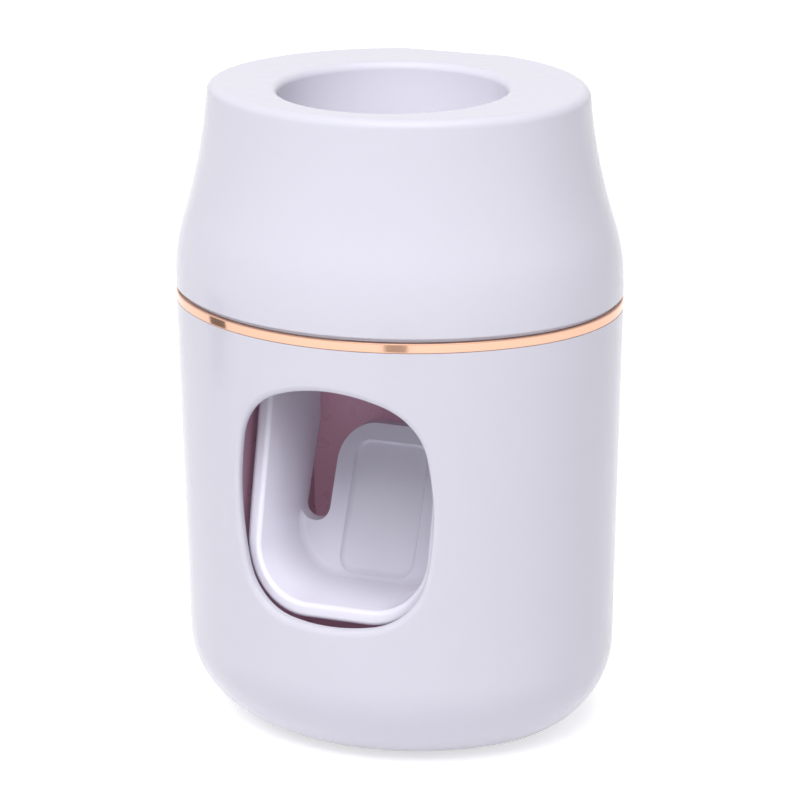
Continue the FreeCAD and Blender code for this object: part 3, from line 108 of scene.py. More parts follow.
def pick(obj):
    """Makes a piece the only one selected, and the active one."""
    bpy.ops.object.select_all(action="DESELECT")
    obj.select_set(True)
    bpy.context.view_layer.objects.active = obj


def edit(obj):
    """Opens a piece in edit mode, with everything on it selected."""
    pick(obj)
    bpy.ops.object.mode_set(mode="EDIT")
    bpy.ops.mesh.select_mode(type="VERT")
    bpy.ops.mesh.select_all(action="SELECT")


def leave():
    bpy.ops.object.mode_set(mode="OBJECT")


def named(name):
    """Names the piece that was just added."""
    obj = bpy.context.object
    obj.name = name
    obj.data.name = name
    return obj


def settle(obj):
    """Puts the piece's place into its mesh, so that the object itself sits at the origin."""
    pick(obj)
    bpy.ops.object.transform_apply(location=True, rotation=True, scale=True)
    return obj


def draw_section(name, points):
    """A chain of edges through points, drawn from one vertex by extruding it."""
    bpy.ops.mesh.primitive_plane_add(size=MM, location=points[0])
    obj = settle(named(name))
    edit(obj)
    bpy.ops.mesh.merge(type="CENTER")
    for here, there in zip(points, points[1:]):
        bpy.ops.mesh.extrude_vertices_move(TRANSFORM_OT_translate={"value": Vector(there) - Vector(here)})
    bpy.ops.mesh.select_all(action="SELECT")
    return obj


def close_up(obj):
    """Merges what meets, fills open ends and turns every face outwards."""
    bpy.ops.mesh.select_all(action="SELECT")
    bpy.ops.mesh.remove_doubles(threshold=MERGE)
    bpy.ops.mesh.select_all(action="SELECT")
    bpy.ops.mesh.fill_holes(sides=0)
    bpy.ops.mesh.select_all(action="SELECT")
    bpy.ops.mesh.normals_make_consistent(inside=False)
    leave()
    return obj


def oval_solid(name, section, back):
    """A solid with the oval plan. The section, as (inset, height) pairs in millimetres, is spun from the
    front's middle through the left side, the back and the right side, and the back is then sliced flat."""
    start = [(0, -(FRONT_DEPTH - inset) * MM, height * MM) for inset, height in section]
    obj = draw_section(name, start)
    side_turn = math.pi - TO_FRONT - TO_BACK
    arcs = [
        (0, FRONT_CENTRE, TO_FRONT),
        (-SIDE_CENTRE, 0, side_turn),
        (0, BACK_CENTRE, 2 * TO_BACK),
        (SIDE_CENTRE, 0, side_turn),
        (0, FRONT_CENTRE, TO_FRONT),
    ]
    for x, y, turn in arcs:
        steps = max(2, round(math.degrees(turn) / OVAL_STEP))
        bpy.ops.mesh.spin(steps=steps, angle=turn, center=(x * MM, y * MM, 0), axis=(0, 0, 1))
    close_up(obj)
    edit(obj)
    bpy.ops.mesh.bisect(plane_co=(0, back * MM, 0), plane_no=(0, 1, 0), use_fill=True, clear_outer=True)
    return close_up(obj)


def turned_solid(name, section, y, steps):
    """A round solid from (radius, height) pairs in millimetres, spun about an upright axis at depth y."""
    start = [(radius * MM, y * MM, height * MM) for radius, height in section]
    obj = draw_section(name, start)
    bpy.ops.mesh.spin(steps=steps, angle=2 * math.pi, center=(0, y * MM, 0), axis=(0, 0, 1))
    return close_up(obj)


def lofted(name, rings):
    """A closed solid through rings of equally many points, each ring extruded from the one before."""
    bpy.ops.mesh.primitive_circle_add(vertices=len(rings[0]), radius=MM, fill_type="NOTHING")
    obj = named(name)
    edit(obj)
    mesh = bmesh.from_edit_mesh(obj.data)
    mesh.verts.ensure_lookup_table()
    ring = list(mesh.verts)
    for vert, place in zip(ring, rings[0]):
        vert.co = Vector(place) * MM
    for places in rings[1:]:
        before = {tuple(round(c, 9) for c in vert.co): i for i, vert in enumerate(ring)}
        bpy.ops.mesh.extrude_edges_move(TRANSFORM_OT_translate={"value": (0, 0, 0)})
        mesh = bmesh.from_edit_mesh(obj.data)
        fresh = [None] * len(places)
        for vert in mesh.verts:
            if vert.select:
                fresh[before[tuple(round(c, 9) for c in vert.co)]] = vert
        ring = fresh
        for vert, place in zip(ring, places):
            vert.co = Vector(place) * MM
    bmesh.update_edit_mesh(obj.data)
    return close_up(obj)


def combine(target, tool, operation="DIFFERENCE"):
    """Cuts or joins one solid with another and throws the tool away."""
    modifier = target.modifiers.new("cut", "BOOLEAN")
    modifier.operation = operation
    modifier.solver = "EXACT"
    modifier.object = tool
    bpy.context.view_layer.objects.active = target
    bpy.ops.object.modifier_apply(modifier=modifier.name)
    bpy.data.objects.remove(tool)
    return target


def smooth(obj, angle=32):
    """Smooth shading that breaks at edges sharper than angle, in degrees, and leans on the larger faces."""
    pick(obj)
    bpy.ops.object.shade_smooth_by_angle(angle=math.radians(angle))
    modifier = obj.modifiers.new("weight", "WEIGHTED_NORMAL")
    modifier.keep_sharp = True
    modifier.weight = 90
    bpy.ops.object.modifier_apply(modifier=modifier.name)
    return obj


def bend(centre, radius, start, end, count):
    """Points on an arc in count steps, from start to end in degrees."""
    steps = [math.radians(start + (end - start) * i / count) for i in range(count + 1)]
    return [(centre[0] + radius * math.cos(a), centre[1] + radius * math.sin(a)) for a in steps]


# --- sections -------------------------------------------------------------------------------------

DRAFT_SLOPE = DRAFT / (SEAM - BASE_RADIUS)


def tub_section(inset, low, high, corner):
    """Section of the lower body: round base corner and drafted wall."""
    lean = math.atan(DRAFT_SLOPE)
    foot = high - low - corner + corner * math.sin(lean)
    foot_inset = inset + (SEAM - high) * DRAFT_SLOPE + DRAFT_SLOPE * foot
    middle = (foot_inset + corner * math.cos(lean), low + corner)
    curve = bend(middle, corner, 270, 180 + math.degrees(lean), 26)
    return curve + [(inset + (SEAM - high) * DRAFT_SLOPE, high)]


def shell_section(inset, low, high, rim):
    """Section of the upper shell: a short upright edge, the shoulder's arc, the hollow flank's arc that runs
    out of it, and the rim."""
    near, far = SHOULDER_RADIUS - inset, FLANK_RADIUS + inset
    first = Vector((inset + near, SHELL_BOTTOM + SHOULDER_RISE))
    goal = Vector((inset + TOP_INSET, high - rim))
    reach = goal - first
    span = near + far
    cosine = (span**2 + reach.length**2 - far**2) / (2 * span * reach.length)
    turn = math.atan2(reach.y, -reach.x) - math.acos(cosine)
    second = first + Vector((-math.cos(turn), math.sin(turn))) * span
    last = math.degrees(math.atan2(goal.y - second.y, goal.x - second.x))
    shoulder = bend(first, near, 180, 180 - math.degrees(turn), 10)
    flank = bend(second, far, -math.degrees(turn), last, 14)
    lip = bend((goal.x + rim, goal.y), rim, 180, 90, 8)
    return [(inset, low)] + shoulder + flank[1:] + lip[1:]


def straight_section(inset, low, high):
    return [(inset, low), (inset, high)]


def band(name, outer, inner, low, high):
    """An upright band with the oval plan, between two insets."""
    ring = oval_solid(name, straight_section(outer, low, high), BACK_PLANE - outer)
    core = oval_solid(name + "_core", straight_section(inner, low - 1, high + 1), BACK_PLANE - inner)
    return combine(ring, core)


# --- brush opening --------------------------------------------------------------------------------

OPENING_HALF = 17.4
OPENING_MIDDLE = 47.4
OPENING_LOW = 26.2
OPENING_TOP = 67.85
SIDE_BOW = 56.0
TOP_BOW = 25.0
LOW_BOW = 43.0
OPENING_LIP = 1.3
INNER_LIP = 0.5
LIP_PLAY = 0.6
TOOL_BACK = -12.0
TOOL_FRONT = -45.0

# The outline's shallow arcs, right, top, left and bottom, as (centre, radius), and then the radius of the
# corner after each of them, and the side of the middle that it lies on.
OPENING_ARCS = [
    ((OPENING_HALF - SIDE_BOW, OPENING_MIDDLE), SIDE_BOW),
    ((0, OPENING_TOP - TOP_BOW), TOP_BOW),
    ((SIDE_BOW - OPENING_HALF, OPENING_MIDDLE), SIDE_BOW),
    ((0, OPENING_LOW + LOW_BOW), LOW_BOW),
]
OPENING_CORNERS = [11.5, 11.5, 10.8, 10.8]
CORNER_SIDES = [(1, 1), (-1, 1), (-1, -1), (1, -1)]
ARC_STEPS = 20
CORNER_STEPS = 22


def opening_outline(offset):
    """The opening's outline in front view, moved outwards by offset: four shallow arcs and four corners."""
    corners = []
    for i, radius in enumerate(OPENING_CORNERS):
        (a, first), (b, second) = OPENING_ARCS[i], OPENING_ARCS[(i + 1) % 4]
        a, b = Vector(a), Vector(b)
        ra, rb = first - radius, second - radius
        apart = (b - a).length
        along = (ra * ra - rb * rb + apart * apart) / (2 * apart)
        off = math.sqrt(ra * ra - along * along)
        unit = (b - a).normalized()
        across = Vector((-unit.y, unit.x))
        want = Vector(CORNER_SIDES[i])
        both = [a + unit * along + across * off, a + unit * along - across * off]
        corners.append(max(both, key=lambda p: (p - Vector((0, OPENING_MIDDLE))).dot(want)))
    points = []
    for i in range(4):
        centre, following = Vector(OPENING_ARCS[i][0]), Vector(OPENING_ARCS[(i + 1) % 4][0])
        before, corner = corners[i - 1], corners[i]
        for middle, size, start, end, count in (
            (centre, OPENING_ARCS[i][1], before - centre, corner - centre, ARC_STEPS),
            (corner, OPENING_CORNERS[i], corner - centre, corner - following, CORNER_STEPS),
        ):
            a0, a1 = math.atan2(start.y, start.x), math.atan2(end.y, end.x)
            if a1 < a0:
                a1 += 2 * math.pi
            points += bend(middle, size + offset, math.degrees(a0), math.degrees(a1), count)[:-1]
    return points


def wall_face(x, z):
    """Depth of the housing's outer face behind a place in the front view."""
    radius = FRONT_RADIUS - (SEAM - z) * DRAFT_SLOPE
    return FRONT_CENTRE - math.sqrt(radius**2 - x**2)


def opening_tool():
    """The form that cuts the opening, flared so that it leaves a rounded outer lip and a small inner one."""
    rings = [[(x, TOOL_BACK, z) for x, z in opening_outline(LIP_PLAY)]]
    rings.append([(x, wall_face(x, z) + WALL + 0.1, z) for x, z in opening_outline(LIP_PLAY)])
    for turn in (30, 60, 90):
        a = math.radians(turn)
        offset, depth = INNER_LIP - INNER_LIP * math.sin(a), WALL - INNER_LIP + INNER_LIP * math.cos(a)
        rings.append([(x, wall_face(x, z) + depth, z) for x, z in opening_outline(offset)])
    for step in range(9):
        a = math.radians(90 * step / 8)
        offset, depth = OPENING_LIP * (1 - math.cos(a)), OPENING_LIP * (1 - math.sin(a))
        rings.append([(x, wall_face(x, z) + depth, z) for x, z in opening_outline(offset)])
    rings.append([(x, TOOL_FRONT, z) for x, z in opening_outline(OPENING_LIP)])
    return lofted("opening_tool", rings)


# --- pieces ---------------------------------------------------------------------------------------

# Cuts in the flat back, for the rear cover and for what lies behind it: spans of x, y and z, and the corner
# radius.
COVER_REBATE = ((-19.4, 19.4), (26.0, 40), (14.0, 70.2), 3.0)
BACK_WINDOW = ((-14.5, 14.5), (20, 40), (19.0, 65.6), 4.0)

# Bands on the seam: outer and inner inset, low and high. The last fills the gap over the ring, set back
# from it.
COLLAR = (2.35, 3.95, 72.0, COLLAR_TOP)
COLLAR_FOOT = (1.0, 3.95, 72.0, SEAM)
GAP_BAND = (0.7, 3.0, RING_TOP + 0.05, SHELL_BOTTOM - 0.15)


def rounded_block(name, x, y, z, corner):
    """A block with rounded corners in the front view."""
    (x0, x1), (y0, y1), (z0, z1) = x, y, z
    outline = []
    for cx, cz, start in ((x1, z1, 0), (x0, z1, 90), (x0, z0, 180), (x1, z0, 270)):
        inward = (cx - corner if cx == x1 else cx + corner, cz - corner if cz == z1 else cz + corner)
        outline += bend(inward, corner, start, start + 90, 8)
    return lofted(name, [[(px, depth, pz) for px, pz in outline] for depth in (y0, y1)])


def make_housing():
    body = oval_solid("housing_body", tub_section(0, 0, SEAM, BASE_RADIUS), BACK_PLANE)
    hollow = tub_section(WALL, BASE_WALL, SEAM + 1, BASE_RADIUS - WALL)
    combine(body, oval_solid("housing_inside", hollow, BACK_PLANE - WALL))
    combine(body, opening_tool())
    combine(body, rounded_block("rebate_tool", *COVER_REBATE))
    combine(body, rounded_block("window_tool", *BACK_WINDOW))
    combine(body, band("collar", *COLLAR), "UNION")
    combine(body, band("collar_foot", *COLLAR_FOOT), "UNION")
    combine(body, band("gap_band", *GAP_BAND), "UNION")
    smooth(body)
    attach(body, "housing")
    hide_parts("lower_housing")
    return body


def make_ring():
    section = [(RING_EDGE, SEAM)] + bend((RING_EDGE, SEAM + RING_EDGE), RING_EDGE, 270, 180, 4)[1:]
    section += bend((RING_EDGE, RING_TOP - RING_EDGE), RING_EDGE, 180, 90, 4)
    ring = oval_solid("seam_ring", section, BACK_PLANE)
    hollow = straight_section(RING_INSET, SEAM - 1, RING_TOP + 1)
    combine(ring, oval_solid("ring_inside", hollow, BACK_PLANE - RING_INSET))
    smooth(ring)
    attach(ring, "housing")
    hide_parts("trim_ring")
    return ring


def make_shell():
    shell = oval_solid("top_cover", shell_section(0, SHELL_BOTTOM, SHELL_TOP, RIM_RADIUS), BACK_PLANE)
    hollow = shell_section(WALL, SHELL_BOTTOM - 1, SHELL_TOP - WALL, RIM_RADIUS)
    combine(shell, oval_solid("cover_inside", hollow, BACK_PLANE - WALL))
    tube = [(WELL_RADIUS + WELL_WALL, WELL_BOTTOM), (WELL_RADIUS + WELL_WALL, SHELL_TOP - 1)]
    combine(shell, turned_solid("well_tube", tube, WELL_Y, WELL_STEPS), "UNION")
    mouth = [(WELL_RADIUS, WELL_BOTTOM - 1), (WELL_RADIUS, SHELL_TOP - WELL_LIP)]
    mouth += bend((WELL_RADIUS + WELL_LIP, SHELL_TOP - WELL_LIP), WELL_LIP, 180, 90, 8)[1:]
    mouth.append((WELL_RADIUS + WELL_LIP, SHELL_TOP + 2))
    combine(shell, turned_solid("well_tool", mouth, WELL_Y, WELL_STEPS))
    smooth(shell)
    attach(shell, "top_shell")
    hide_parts("upper_shell")
    return shell


# --- pusher ---------------------------------------------------------------------------------------

CUP_HALF = 16.8
CUP_LOW = 27.1
CUP_TOP = 74.6
CUP_CORNER = 11.0
CUP_WALL = 1.6
CUP_FLOOR = 1.4
FLANGE = 0.9
FLANGE_THICK = 1.8
RIM_ROUND = 0.8
SCOOP_ROUND = 1.1
SIDE_HEIGHTS = (42, 47, 52, 56, 60, 65.2, 67, 69.2)

# The rim's plane, as a depth at its lowest height and a lean, and its play behind the housing's wall.
RIM_DEPTH = -29.0
RIM_LOW = 26.0
RIM_HIGH = 65.2
RIM_LEAN = 0.25
RIM_PLAY = 0.6
RIM_BLEND = 0.8

# The tongue's face, as a depth at one height and a lean, its outline, and the slots beside it.
TONGUE_DEPTH = -7.0
TONGUE_HEIGHT = 40.0
TONGUE_LEAN = 0.445
TONGUE_THICK = 2.4
TONGUE_HALF = 10.0
TONGUE_TOP = 53.0
TONGUE_CORNER = 6.5
SLOT_FOOT = 36.5
SLOT_PLAY = 0.2

# The panel in the tongue, and how its edge shrinks as it deepens.
PANEL_HALF = 6.9
PANEL_LOW = 29.0
PANEL_HIGH = 50.3
PANEL_CORNER = 2.6
PANEL_EDGE = ((0, -4), (0, -0.02), (0.12, 0.25), (0.45, 0.62), (0.9, 0.8))

# The arms, by what is cut away behind them in side view, and their ears on the pins, as depths and heights.
ARM_CUT = [(0.74, 52), (0.74, 60), (-12.6, 69.2), (-12.6, 80), (40, 80), (40, 52)]
PIVOT = (-16.0, 71.0)
EAR_X = 17.15
EAR_LENGTH = 2.3
EAR_RADIUS = 3.0
PIN_HOLE = 1.05

# Rounded edges are drawn as quarter turns in six steps of fifteen degrees.
QUARTER = [math.radians(15 * step) for step in range(7)]


def cup_outline(grow, drop=0.0):
    """The pusher's tray shape in front view, grown on all sides but the top; drop lowers its low end."""
    half, low, corner = CUP_HALF + grow, CUP_LOW - grow - drop, CUP_CORNER + grow
    top = CUP_TOP if grow >= 0 else CUP_TOP + 2 * grow
    right = bend((half - corner, low + corner), corner, 270, 360, 18)
    right += [(half, z) for z in SIDE_HEIGHTS] + [(half, top)]
    return right + [(-x, z) for x, z in reversed(right)]


def rim_face(x, z):
    """Depth of the pusher's rim: a leaning plane that bends back where the housing's wall curves in."""
    plane = RIM_DEPTH + (min(z, RIM_HIGH) - RIM_LOW) * RIM_LEAN
    radius = FRONT_RADIUS - WALL - RIM_PLAY - (SEAM - z) * DRAFT_SLOPE
    wall = FRONT_CENTRE - math.sqrt(radius**2 - x**2)
    return (plane + wall + math.hypot(plane - wall, RIM_BLEND)) / 2


def tongue_face(z):
    """Depth of the tongue's front face."""
    return TONGUE_DEPTH + (z - TONGUE_HEIGHT) * TONGUE_LEAN


def make_pusher():
    """The cup is lofted from its back, round the flange and the rim, and down its inside to the tongue."""
    rings = [[(x, tongue_face(z) + TONGUE_THICK, z) for x, z in cup_outline(0)]]
    for grow, depth in ((0, FLANGE_THICK + 0.3), (FLANGE - 0.3, FLANGE_THICK), (FLANGE, FLANGE_THICK - 0.3)):
        rings.append([(x, rim_face(x, z) + depth, z) for x, z in cup_outline(grow)])
    for a in QUARTER:
        grow = FLANGE - RIM_ROUND * (1 - math.cos(a))
        rings.append([(x, rim_face(x, z) + RIM_ROUND * (1 - math.sin(a)), z) for x, z in cup_outline(grow)])
    for a in reversed(QUARTER):
        outline = cup_outline(RIM_ROUND * (1 - math.cos(a)) - CUP_WALL)
        rings.append([(x, rim_face(x, z) + RIM_ROUND * (1 - math.sin(a)), z) for x, z in outline])
    for a in QUARTER:
        outline = cup_outline(SCOOP_ROUND * (math.cos(a) - 1) - CUP_WALL, CUP_WALL - CUP_FLOOR)
        rings.append([(x, tongue_face(z) - SCOOP_ROUND * (1 - math.sin(a)), z) for x, z in outline])
    cup = lofted("pusher_cup", rings)
    combine(cup, lofted("arm_tool", [[(x, y, z) for y, z in ARM_CUT] for x in (-30, 30)]))
    combine(cup, lofted("slot_tool", [[(x, y, z) for x, z in slot_outline()] for y in (-50, 50)]))
    combine(cup, recess_tool())
    for sign in (-1, 1):
        combine(cup, rod("ear", sign * EAR_X, EAR_LENGTH, EAR_RADIUS), "UNION")
    combine(cup, rod("pin_tool", 0, 60, PIN_HOLE))
    smooth(cup)
    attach(cup, "pusher_lever")
    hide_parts("pusher")
    return cup


def slot_outline():
    """What is open round the tongue in front view: a slot down each side and all that lies above."""
    inner = CUP_HALF - CUP_WALL - 0.01
    end = (inner - TONGUE_HALF) / 2 - SLOT_PLAY
    slot = bend((inner - end, SLOT_FOOT + end), end, 0, -90, 8)
    slot += bend((TONGUE_HALF + end, SLOT_FOOT + end), end, 270, 180, 8)
    crown = bend((TONGUE_HALF - TONGUE_CORNER, TONGUE_TOP - TONGUE_CORNER), TONGUE_CORNER, 0, 90, 16)
    right = [(inner, CUP_TOP + 4)] + slot + crown
    return right + [(-x, z) for x, z in reversed(right)]


def recess_tool():
    """The shallow panel in the tongue, with a soft edge."""
    rings = []
    for shrink, depth in PANEL_EDGE:
        half, corner = PANEL_HALF - shrink, PANEL_CORNER - shrink
        low, high = PANEL_LOW + shrink, PANEL_HIGH - shrink
        outline = bend((half - corner, high - corner), corner, 0, 90, 8)
        outline += bend((corner - half, high - corner), corner, 90, 180, 8)
        outline += bend((corner - half, low + corner), corner, 180, 270, 8)
        outline += bend((half - corner, low + corner), corner, 270, 360, 8)
        rings.append([(x, tongue_face(z) + depth, z) for x, z in outline])
    return lofted("recess_tool", rings)


def rod(name, x, length, radius):
    """A round bar along the width, on the pusher's pivot."""
    bpy.ops.mesh.primitive_cylinder_add(vertices=64, radius=radius * MM, depth=length * MM,
                                        location=(x * MM, PIVOT[0] * MM, PIVOT[1] * MM),
                                        rotation=(0, math.pi / 2, 0))
    return settle(named(name))


# --- inner and soft pieces ------------------------------------------------------------------------

# The foam pad, as spans of x, y and z, and its corner radius.
PAD = ((-11.2, 11.2), (26.75, 27.95), (27.3, 63.3), 3.0)

# The bellows' and coil's front and back ends, with the plunger at rest.
BELLOWS_ENDS = (9.4, 18.4)
COIL_ENDS = (10.56, 18.34)

# Soft turned pieces: the node, its axis' depth, the width of its rounded edges, and its section as (radius,
# height) pairs.
SOFT_TURNED = [
    ("neck_seal", WELL_Y, 0.5,
     [(2, 78.2), (16.8, 78.2), (16.8, 86.8), (15.3, 86.8), (6.2, 84.2), (6.2, 79.7), (2, 79.7), (2, 78.2)]),
    ("inlet_valve", WELL_Y, 0.15,
     [(0, 74.1), (1.2, 74.1), (1.2, 76.9), (4.2, 76.9), (4.2, 77.4), (0, 77.9)]),
    ("outlet_valve", -19.0, 0.15,
     [(0, 66.85), (1.05, 66.85), (2.1, 69.05), (4.0, 69.05), (4.0, 69.85), (1.4, 69.85), (0, 67.65)]),
    ("riser_seal", 18.4, 0.12,
     [(2.65, 70.85), (3.55, 70.85), (3.25, 71.65), (3.55, 72.45), (2.65, 72.45), (2.65, 70.85)]),
]


def smooth_copy(node, body, angle=30):
    """A moulded inner piece: a merged copy of its node gets smooth faces between its real edges."""
    copy = nodes[node].copy()
    copy.data = nodes[node].data.copy()
    copy.parent = None
    copy.matrix_world.identity()
    copy.name = node + "_smooth"
    bpy.context.scene.collection.objects.link(copy)
    edit(copy)
    bpy.ops.mesh.remove_doubles(threshold=MERGE)
    bpy.ops.mesh.select_all(action="SELECT")
    bpy.ops.mesh.normals_make_consistent(inside=False)
    bpy.ops.mesh.dissolve_limited(angle_limit=math.radians(0.3))
    leave()
    smooth(copy, angle)
    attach(copy, body)
    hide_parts(node)
    return copy


def soften(obj, width):
    """Rounds the real edges of a soft piece, to a width in millimetres."""
    modifier = obj.modifiers.new("round", "BEVEL")
    modifier.width = width * MM
    modifier.segments = 3
    modifier.limit_method = "ANGLE"
    modifier.angle_limit = math.radians(30)
    bpy.context.view_layer.objects.active = obj
    bpy.ops.object.modifier_apply(modifier=modifier.name)
    return smooth(obj, 40)


def make_soft_turned(node, y, width, section):
    piece = turned_solid(node + "_soft", section, y, SOFT_STEPS)
    soften(piece, width)
    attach(piece, "housing")
    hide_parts(node)
    return piece


def make_pad():
    piece = rounded_block("foam_pad", *PAD)
    soften(piece, 0.2)
    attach(piece, "wall_mount")
    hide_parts("adhesive_pad")
    return piece


housing = make_housing()
ring = make_ring()
shell = make_shell()
cup = make_pusher()
liner = smooth_copy("inner_liner", "housing")
back_plate = smooth_copy("rear_cover", "housing")
retainer = smooth_copy("seal_retainer", "housing")
tip = smooth_copy("nozzle_tip", "housing")
hanger = smooth_copy("wall_plate", "wall_mount")
pad = make_pad()
soft_pieces = [make_soft_turned(*row) for row in SOFT_TURNED]
bellows = smooth_copy("pump_bellows", "housing", 50)
coil = smooth_copy("return_spring", "housing", 50)
for piece, (free_end, fixed_end) in ((bellows, BELLOWS_ENDS), (coil, COIL_ENDS)):
    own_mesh(piece)


# --- materials ------------------------------------------------------------------------------------


PLASTIC_IOR = 1.5
PLASTIC_SHINE = 0.4
BUMP_STRENGTH = 0.3


def new_material(name):
    material = bpy.data.materials.new(name)
    material.use_nodes = True
    tree = material.node_tree
    tree.nodes.clear()
    output = tree.nodes.new("ShaderNodeOutputMaterial")
    shader = tree.nodes.new("ShaderNodeBsdfPrincipled")
    tree.links.new(shader.outputs["BSDF"], output.inputs["Surface"])
    return material, tree, shader


def grain(tree, scale, detail=3.0):
    """Fine noise that stays put on the piece."""
    place = tree.nodes.new("ShaderNodeTexCoord")
    noise = tree.nodes.new("ShaderNodeTexNoise")
    noise.inputs["Scale"].default_value = scale
    noise.inputs["Detail"].default_value = detail
    tree.links.new(place.outputs["Object"], noise.inputs["Vector"])
    return noise


def spread(tree, source, low, high):
    """Spreads a noise between two values."""
    node = tree.nodes.new("ShaderNodeMapRange")
    node.inputs["From Min"].default_value = 0.3
    node.inputs["From Max"].default_value = 0.7
    node.inputs["To Min"].default_value = low
    node.inputs["To Max"].default_value = high
    tree.links.new(source, node.inputs["Value"])
    return node.outputs["Result"]


def tint(tree, source, low, high):
    """Spreads a noise between two colours."""
    node = tree.nodes.new("ShaderNodeMix")
    node.data_type = "RGBA"
    node.inputs["A"].default_value = (*low, 1)
    node.inputs["B"].default_value = (*high, 1)
    tree.links.new(source, node.inputs["Factor"])
    return node.outputs["Result"]


def bumps(tree, shader, source, distance):
    """Makes the skin uneven by a noise, to a depth in metres."""
    node = tree.nodes.new("ShaderNodeBump")
    node.inputs["Strength"].default_value = BUMP_STRENGTH
    node.inputs["Distance"].default_value = distance
    tree.links.new(source, node.inputs["Height"])
    tree.links.new(node.outputs["Normal"], shader.inputs["Normal"])


def moulded_plastic(name, low, high, roughness, ripple=0.00002):
    """Injection moulded plastic: faint mottling of the colour and gloss, and a barely uneven skin."""
    material, tree, shader = new_material(name)
    cloud = grain(tree, 30.0)
    fine = grain(tree, 420.0, 4.0)
    gloss = spread(tree, fine.outputs["Fac"], roughness * 0.85, roughness * 1.2)
    tree.links.new(tint(tree, cloud.outputs["Fac"], low, high), shader.inputs["Base Color"])
    tree.links.new(gloss, shader.inputs["Roughness"])
    shader.inputs["IOR"].default_value = PLASTIC_IOR
    shader.inputs["Specular IOR Level"].default_value = PLASTIC_SHINE
    bumps(tree, shader, cloud.outputs["Fac"], ripple)
    return material


def plated_metal(name, low, high, roughness):
    """Bright metal or plating, with a faint drift of colour and gloss."""
    material, tree, shader = new_material(name)
    cloud = grain(tree, 60.0)
    gloss = spread(tree, cloud.outputs["Fac"], roughness * 0.8, roughness * 1.3)
    tree.links.new(tint(tree, cloud.outputs["Fac"], low, high), shader.inputs["Base Color"])
    tree.links.new(gloss, shader.inputs["Roughness"])
    shader.inputs["Metallic"].default_value = 1.0
    bumps(tree, shader, cloud.outputs["Fac"], 0.00003)
    return material


FINISHES = {
    "white_plastic": moulded_plastic("gloss_white_plastic", (0.725, 0.71, 0.81), (0.745, 0.73, 0.83), 0.2),
    "mauve_plastic": moulded_plastic("mauve_plastic", (0.40, 0.225, 0.31), (0.42, 0.24, 0.33), 0.3),
    "natural_plastic": moulded_plastic("natural_plastic", (0.70, 0.69, 0.67), (0.75, 0.74, 0.72), 0.4),
    "silicone": moulded_plastic("soft_silicone", (0.62, 0.62, 0.63), (0.68, 0.68, 0.69), 0.55),
    "foam_tape": moulded_plastic("foam_tape", (0.70, 0.70, 0.68), (0.80, 0.80, 0.78), 0.9, ripple=0.0003),
    "rose_gold_plating": plated_metal("rose_gold_plating", (0.73, 0.44, 0.315), (0.77, 0.47, 0.34), 0.1),
    "steel": plated_metal("zinc_steel", (0.55, 0.55, 0.56), (0.62, 0.62, 0.63), 0.3),
}


def finish(obj, material):
    obj.data.materials.clear()
    obj.data.materials.append(material)


for part in frame["record"]["subparts"]:
    finish(nodes[part["node"]], FINISHES[part["material_slot"]])

MODELLED = [
    (housing, "white_plastic"),
    (shell, "white_plastic"),
    (ring, "rose_gold_plating"),
    (cup, "white_plastic"),
    (liner, "mauve_plastic"),
    (back_plate, "white_plastic"),
    (retainer, "natural_plastic"),
    (tip, "natural_plastic"),
    (hanger, "white_plastic"),
    (pad, "foam_tape"),
    (bellows, "silicone"),
    (coil, "steel"),
]
for piece, slot in MODELLED + [(piece, "silicone") for piece in soft_pieces]:
    finish(piece, FINISHES[slot])


# --- studio ---------------------------------------------------------------------------------------

# The world's level on the object, and as the camera and reflections see it.
WORLD_LEVEL = 0.34
SEEN_LEVEL = 1.0
FLOOR_COLOUR = (0.86, 0.86, 0.87, 1)
FLOOR_GLOW = 0.6
FLOOR_SIZE = 6.0
FLOOR_DROP = 0.0002

# Where the lamps aim, in metres: the whole object, the opening, and the back of the filler well.
BODY_AIM = (0, 0, 0.06)
OPENING_AIM = (0, -0.01, 0.045)
WELL_PLACE = (0, WELL_Y * MM, 0.105)
WELL_AIM = (0, 0.1, 0.105)

# The camera: its direction and roll in degrees, the place that it faces as an offset to the right and a
# height, its distance in millimetres, and its focal length in pixels of the square frame.
CAMERA_TURN = 22.09
CAMERA_RISE = 17.0
CAMERA_ROLL = -0.286
CAMERA_OFFSET = 0.088
CAMERA_HEIGHT = 57.2
CAMERA_DISTANCE = 683.9
FOCAL_PIXELS = 3957.2
FRAME_PIXELS = 800
SENSOR_WIDTH = 36.0


def seen_ray(tree):
    """1 for rays from the camera, and for those that gloss and glass send."""
    path = tree.nodes.new("ShaderNodeLightPath")
    total = path.outputs["Is Camera Ray"]
    for name in ("Is Glossy Ray", "Is Transmission Ray"):
        add = tree.nodes.new("ShaderNodeMath")
        add.operation = "MAXIMUM"
        tree.links.new(total, add.inputs[0])
        tree.links.new(path.outputs[name], add.inputs[1])
        total = add.outputs[0]
    return total


def make_world():
    world = bpy.data.worlds.new("studio")
    bpy.context.scene.world = world
    world.use_nodes = True
    tree = world.node_tree
    background = tree.nodes["Background"]
    background.inputs["Color"].default_value = (1, 1, 1, 1)
    level = tree.nodes.new("ShaderNodeMapRange")
    level.inputs["To Min"].default_value = WORLD_LEVEL
    level.inputs["To Max"].default_value = SEEN_LEVEL
    tree.links.new(seen_ray(tree), level.inputs["Value"])
    tree.links.new(level.outputs["Result"], background.inputs["Strength"])


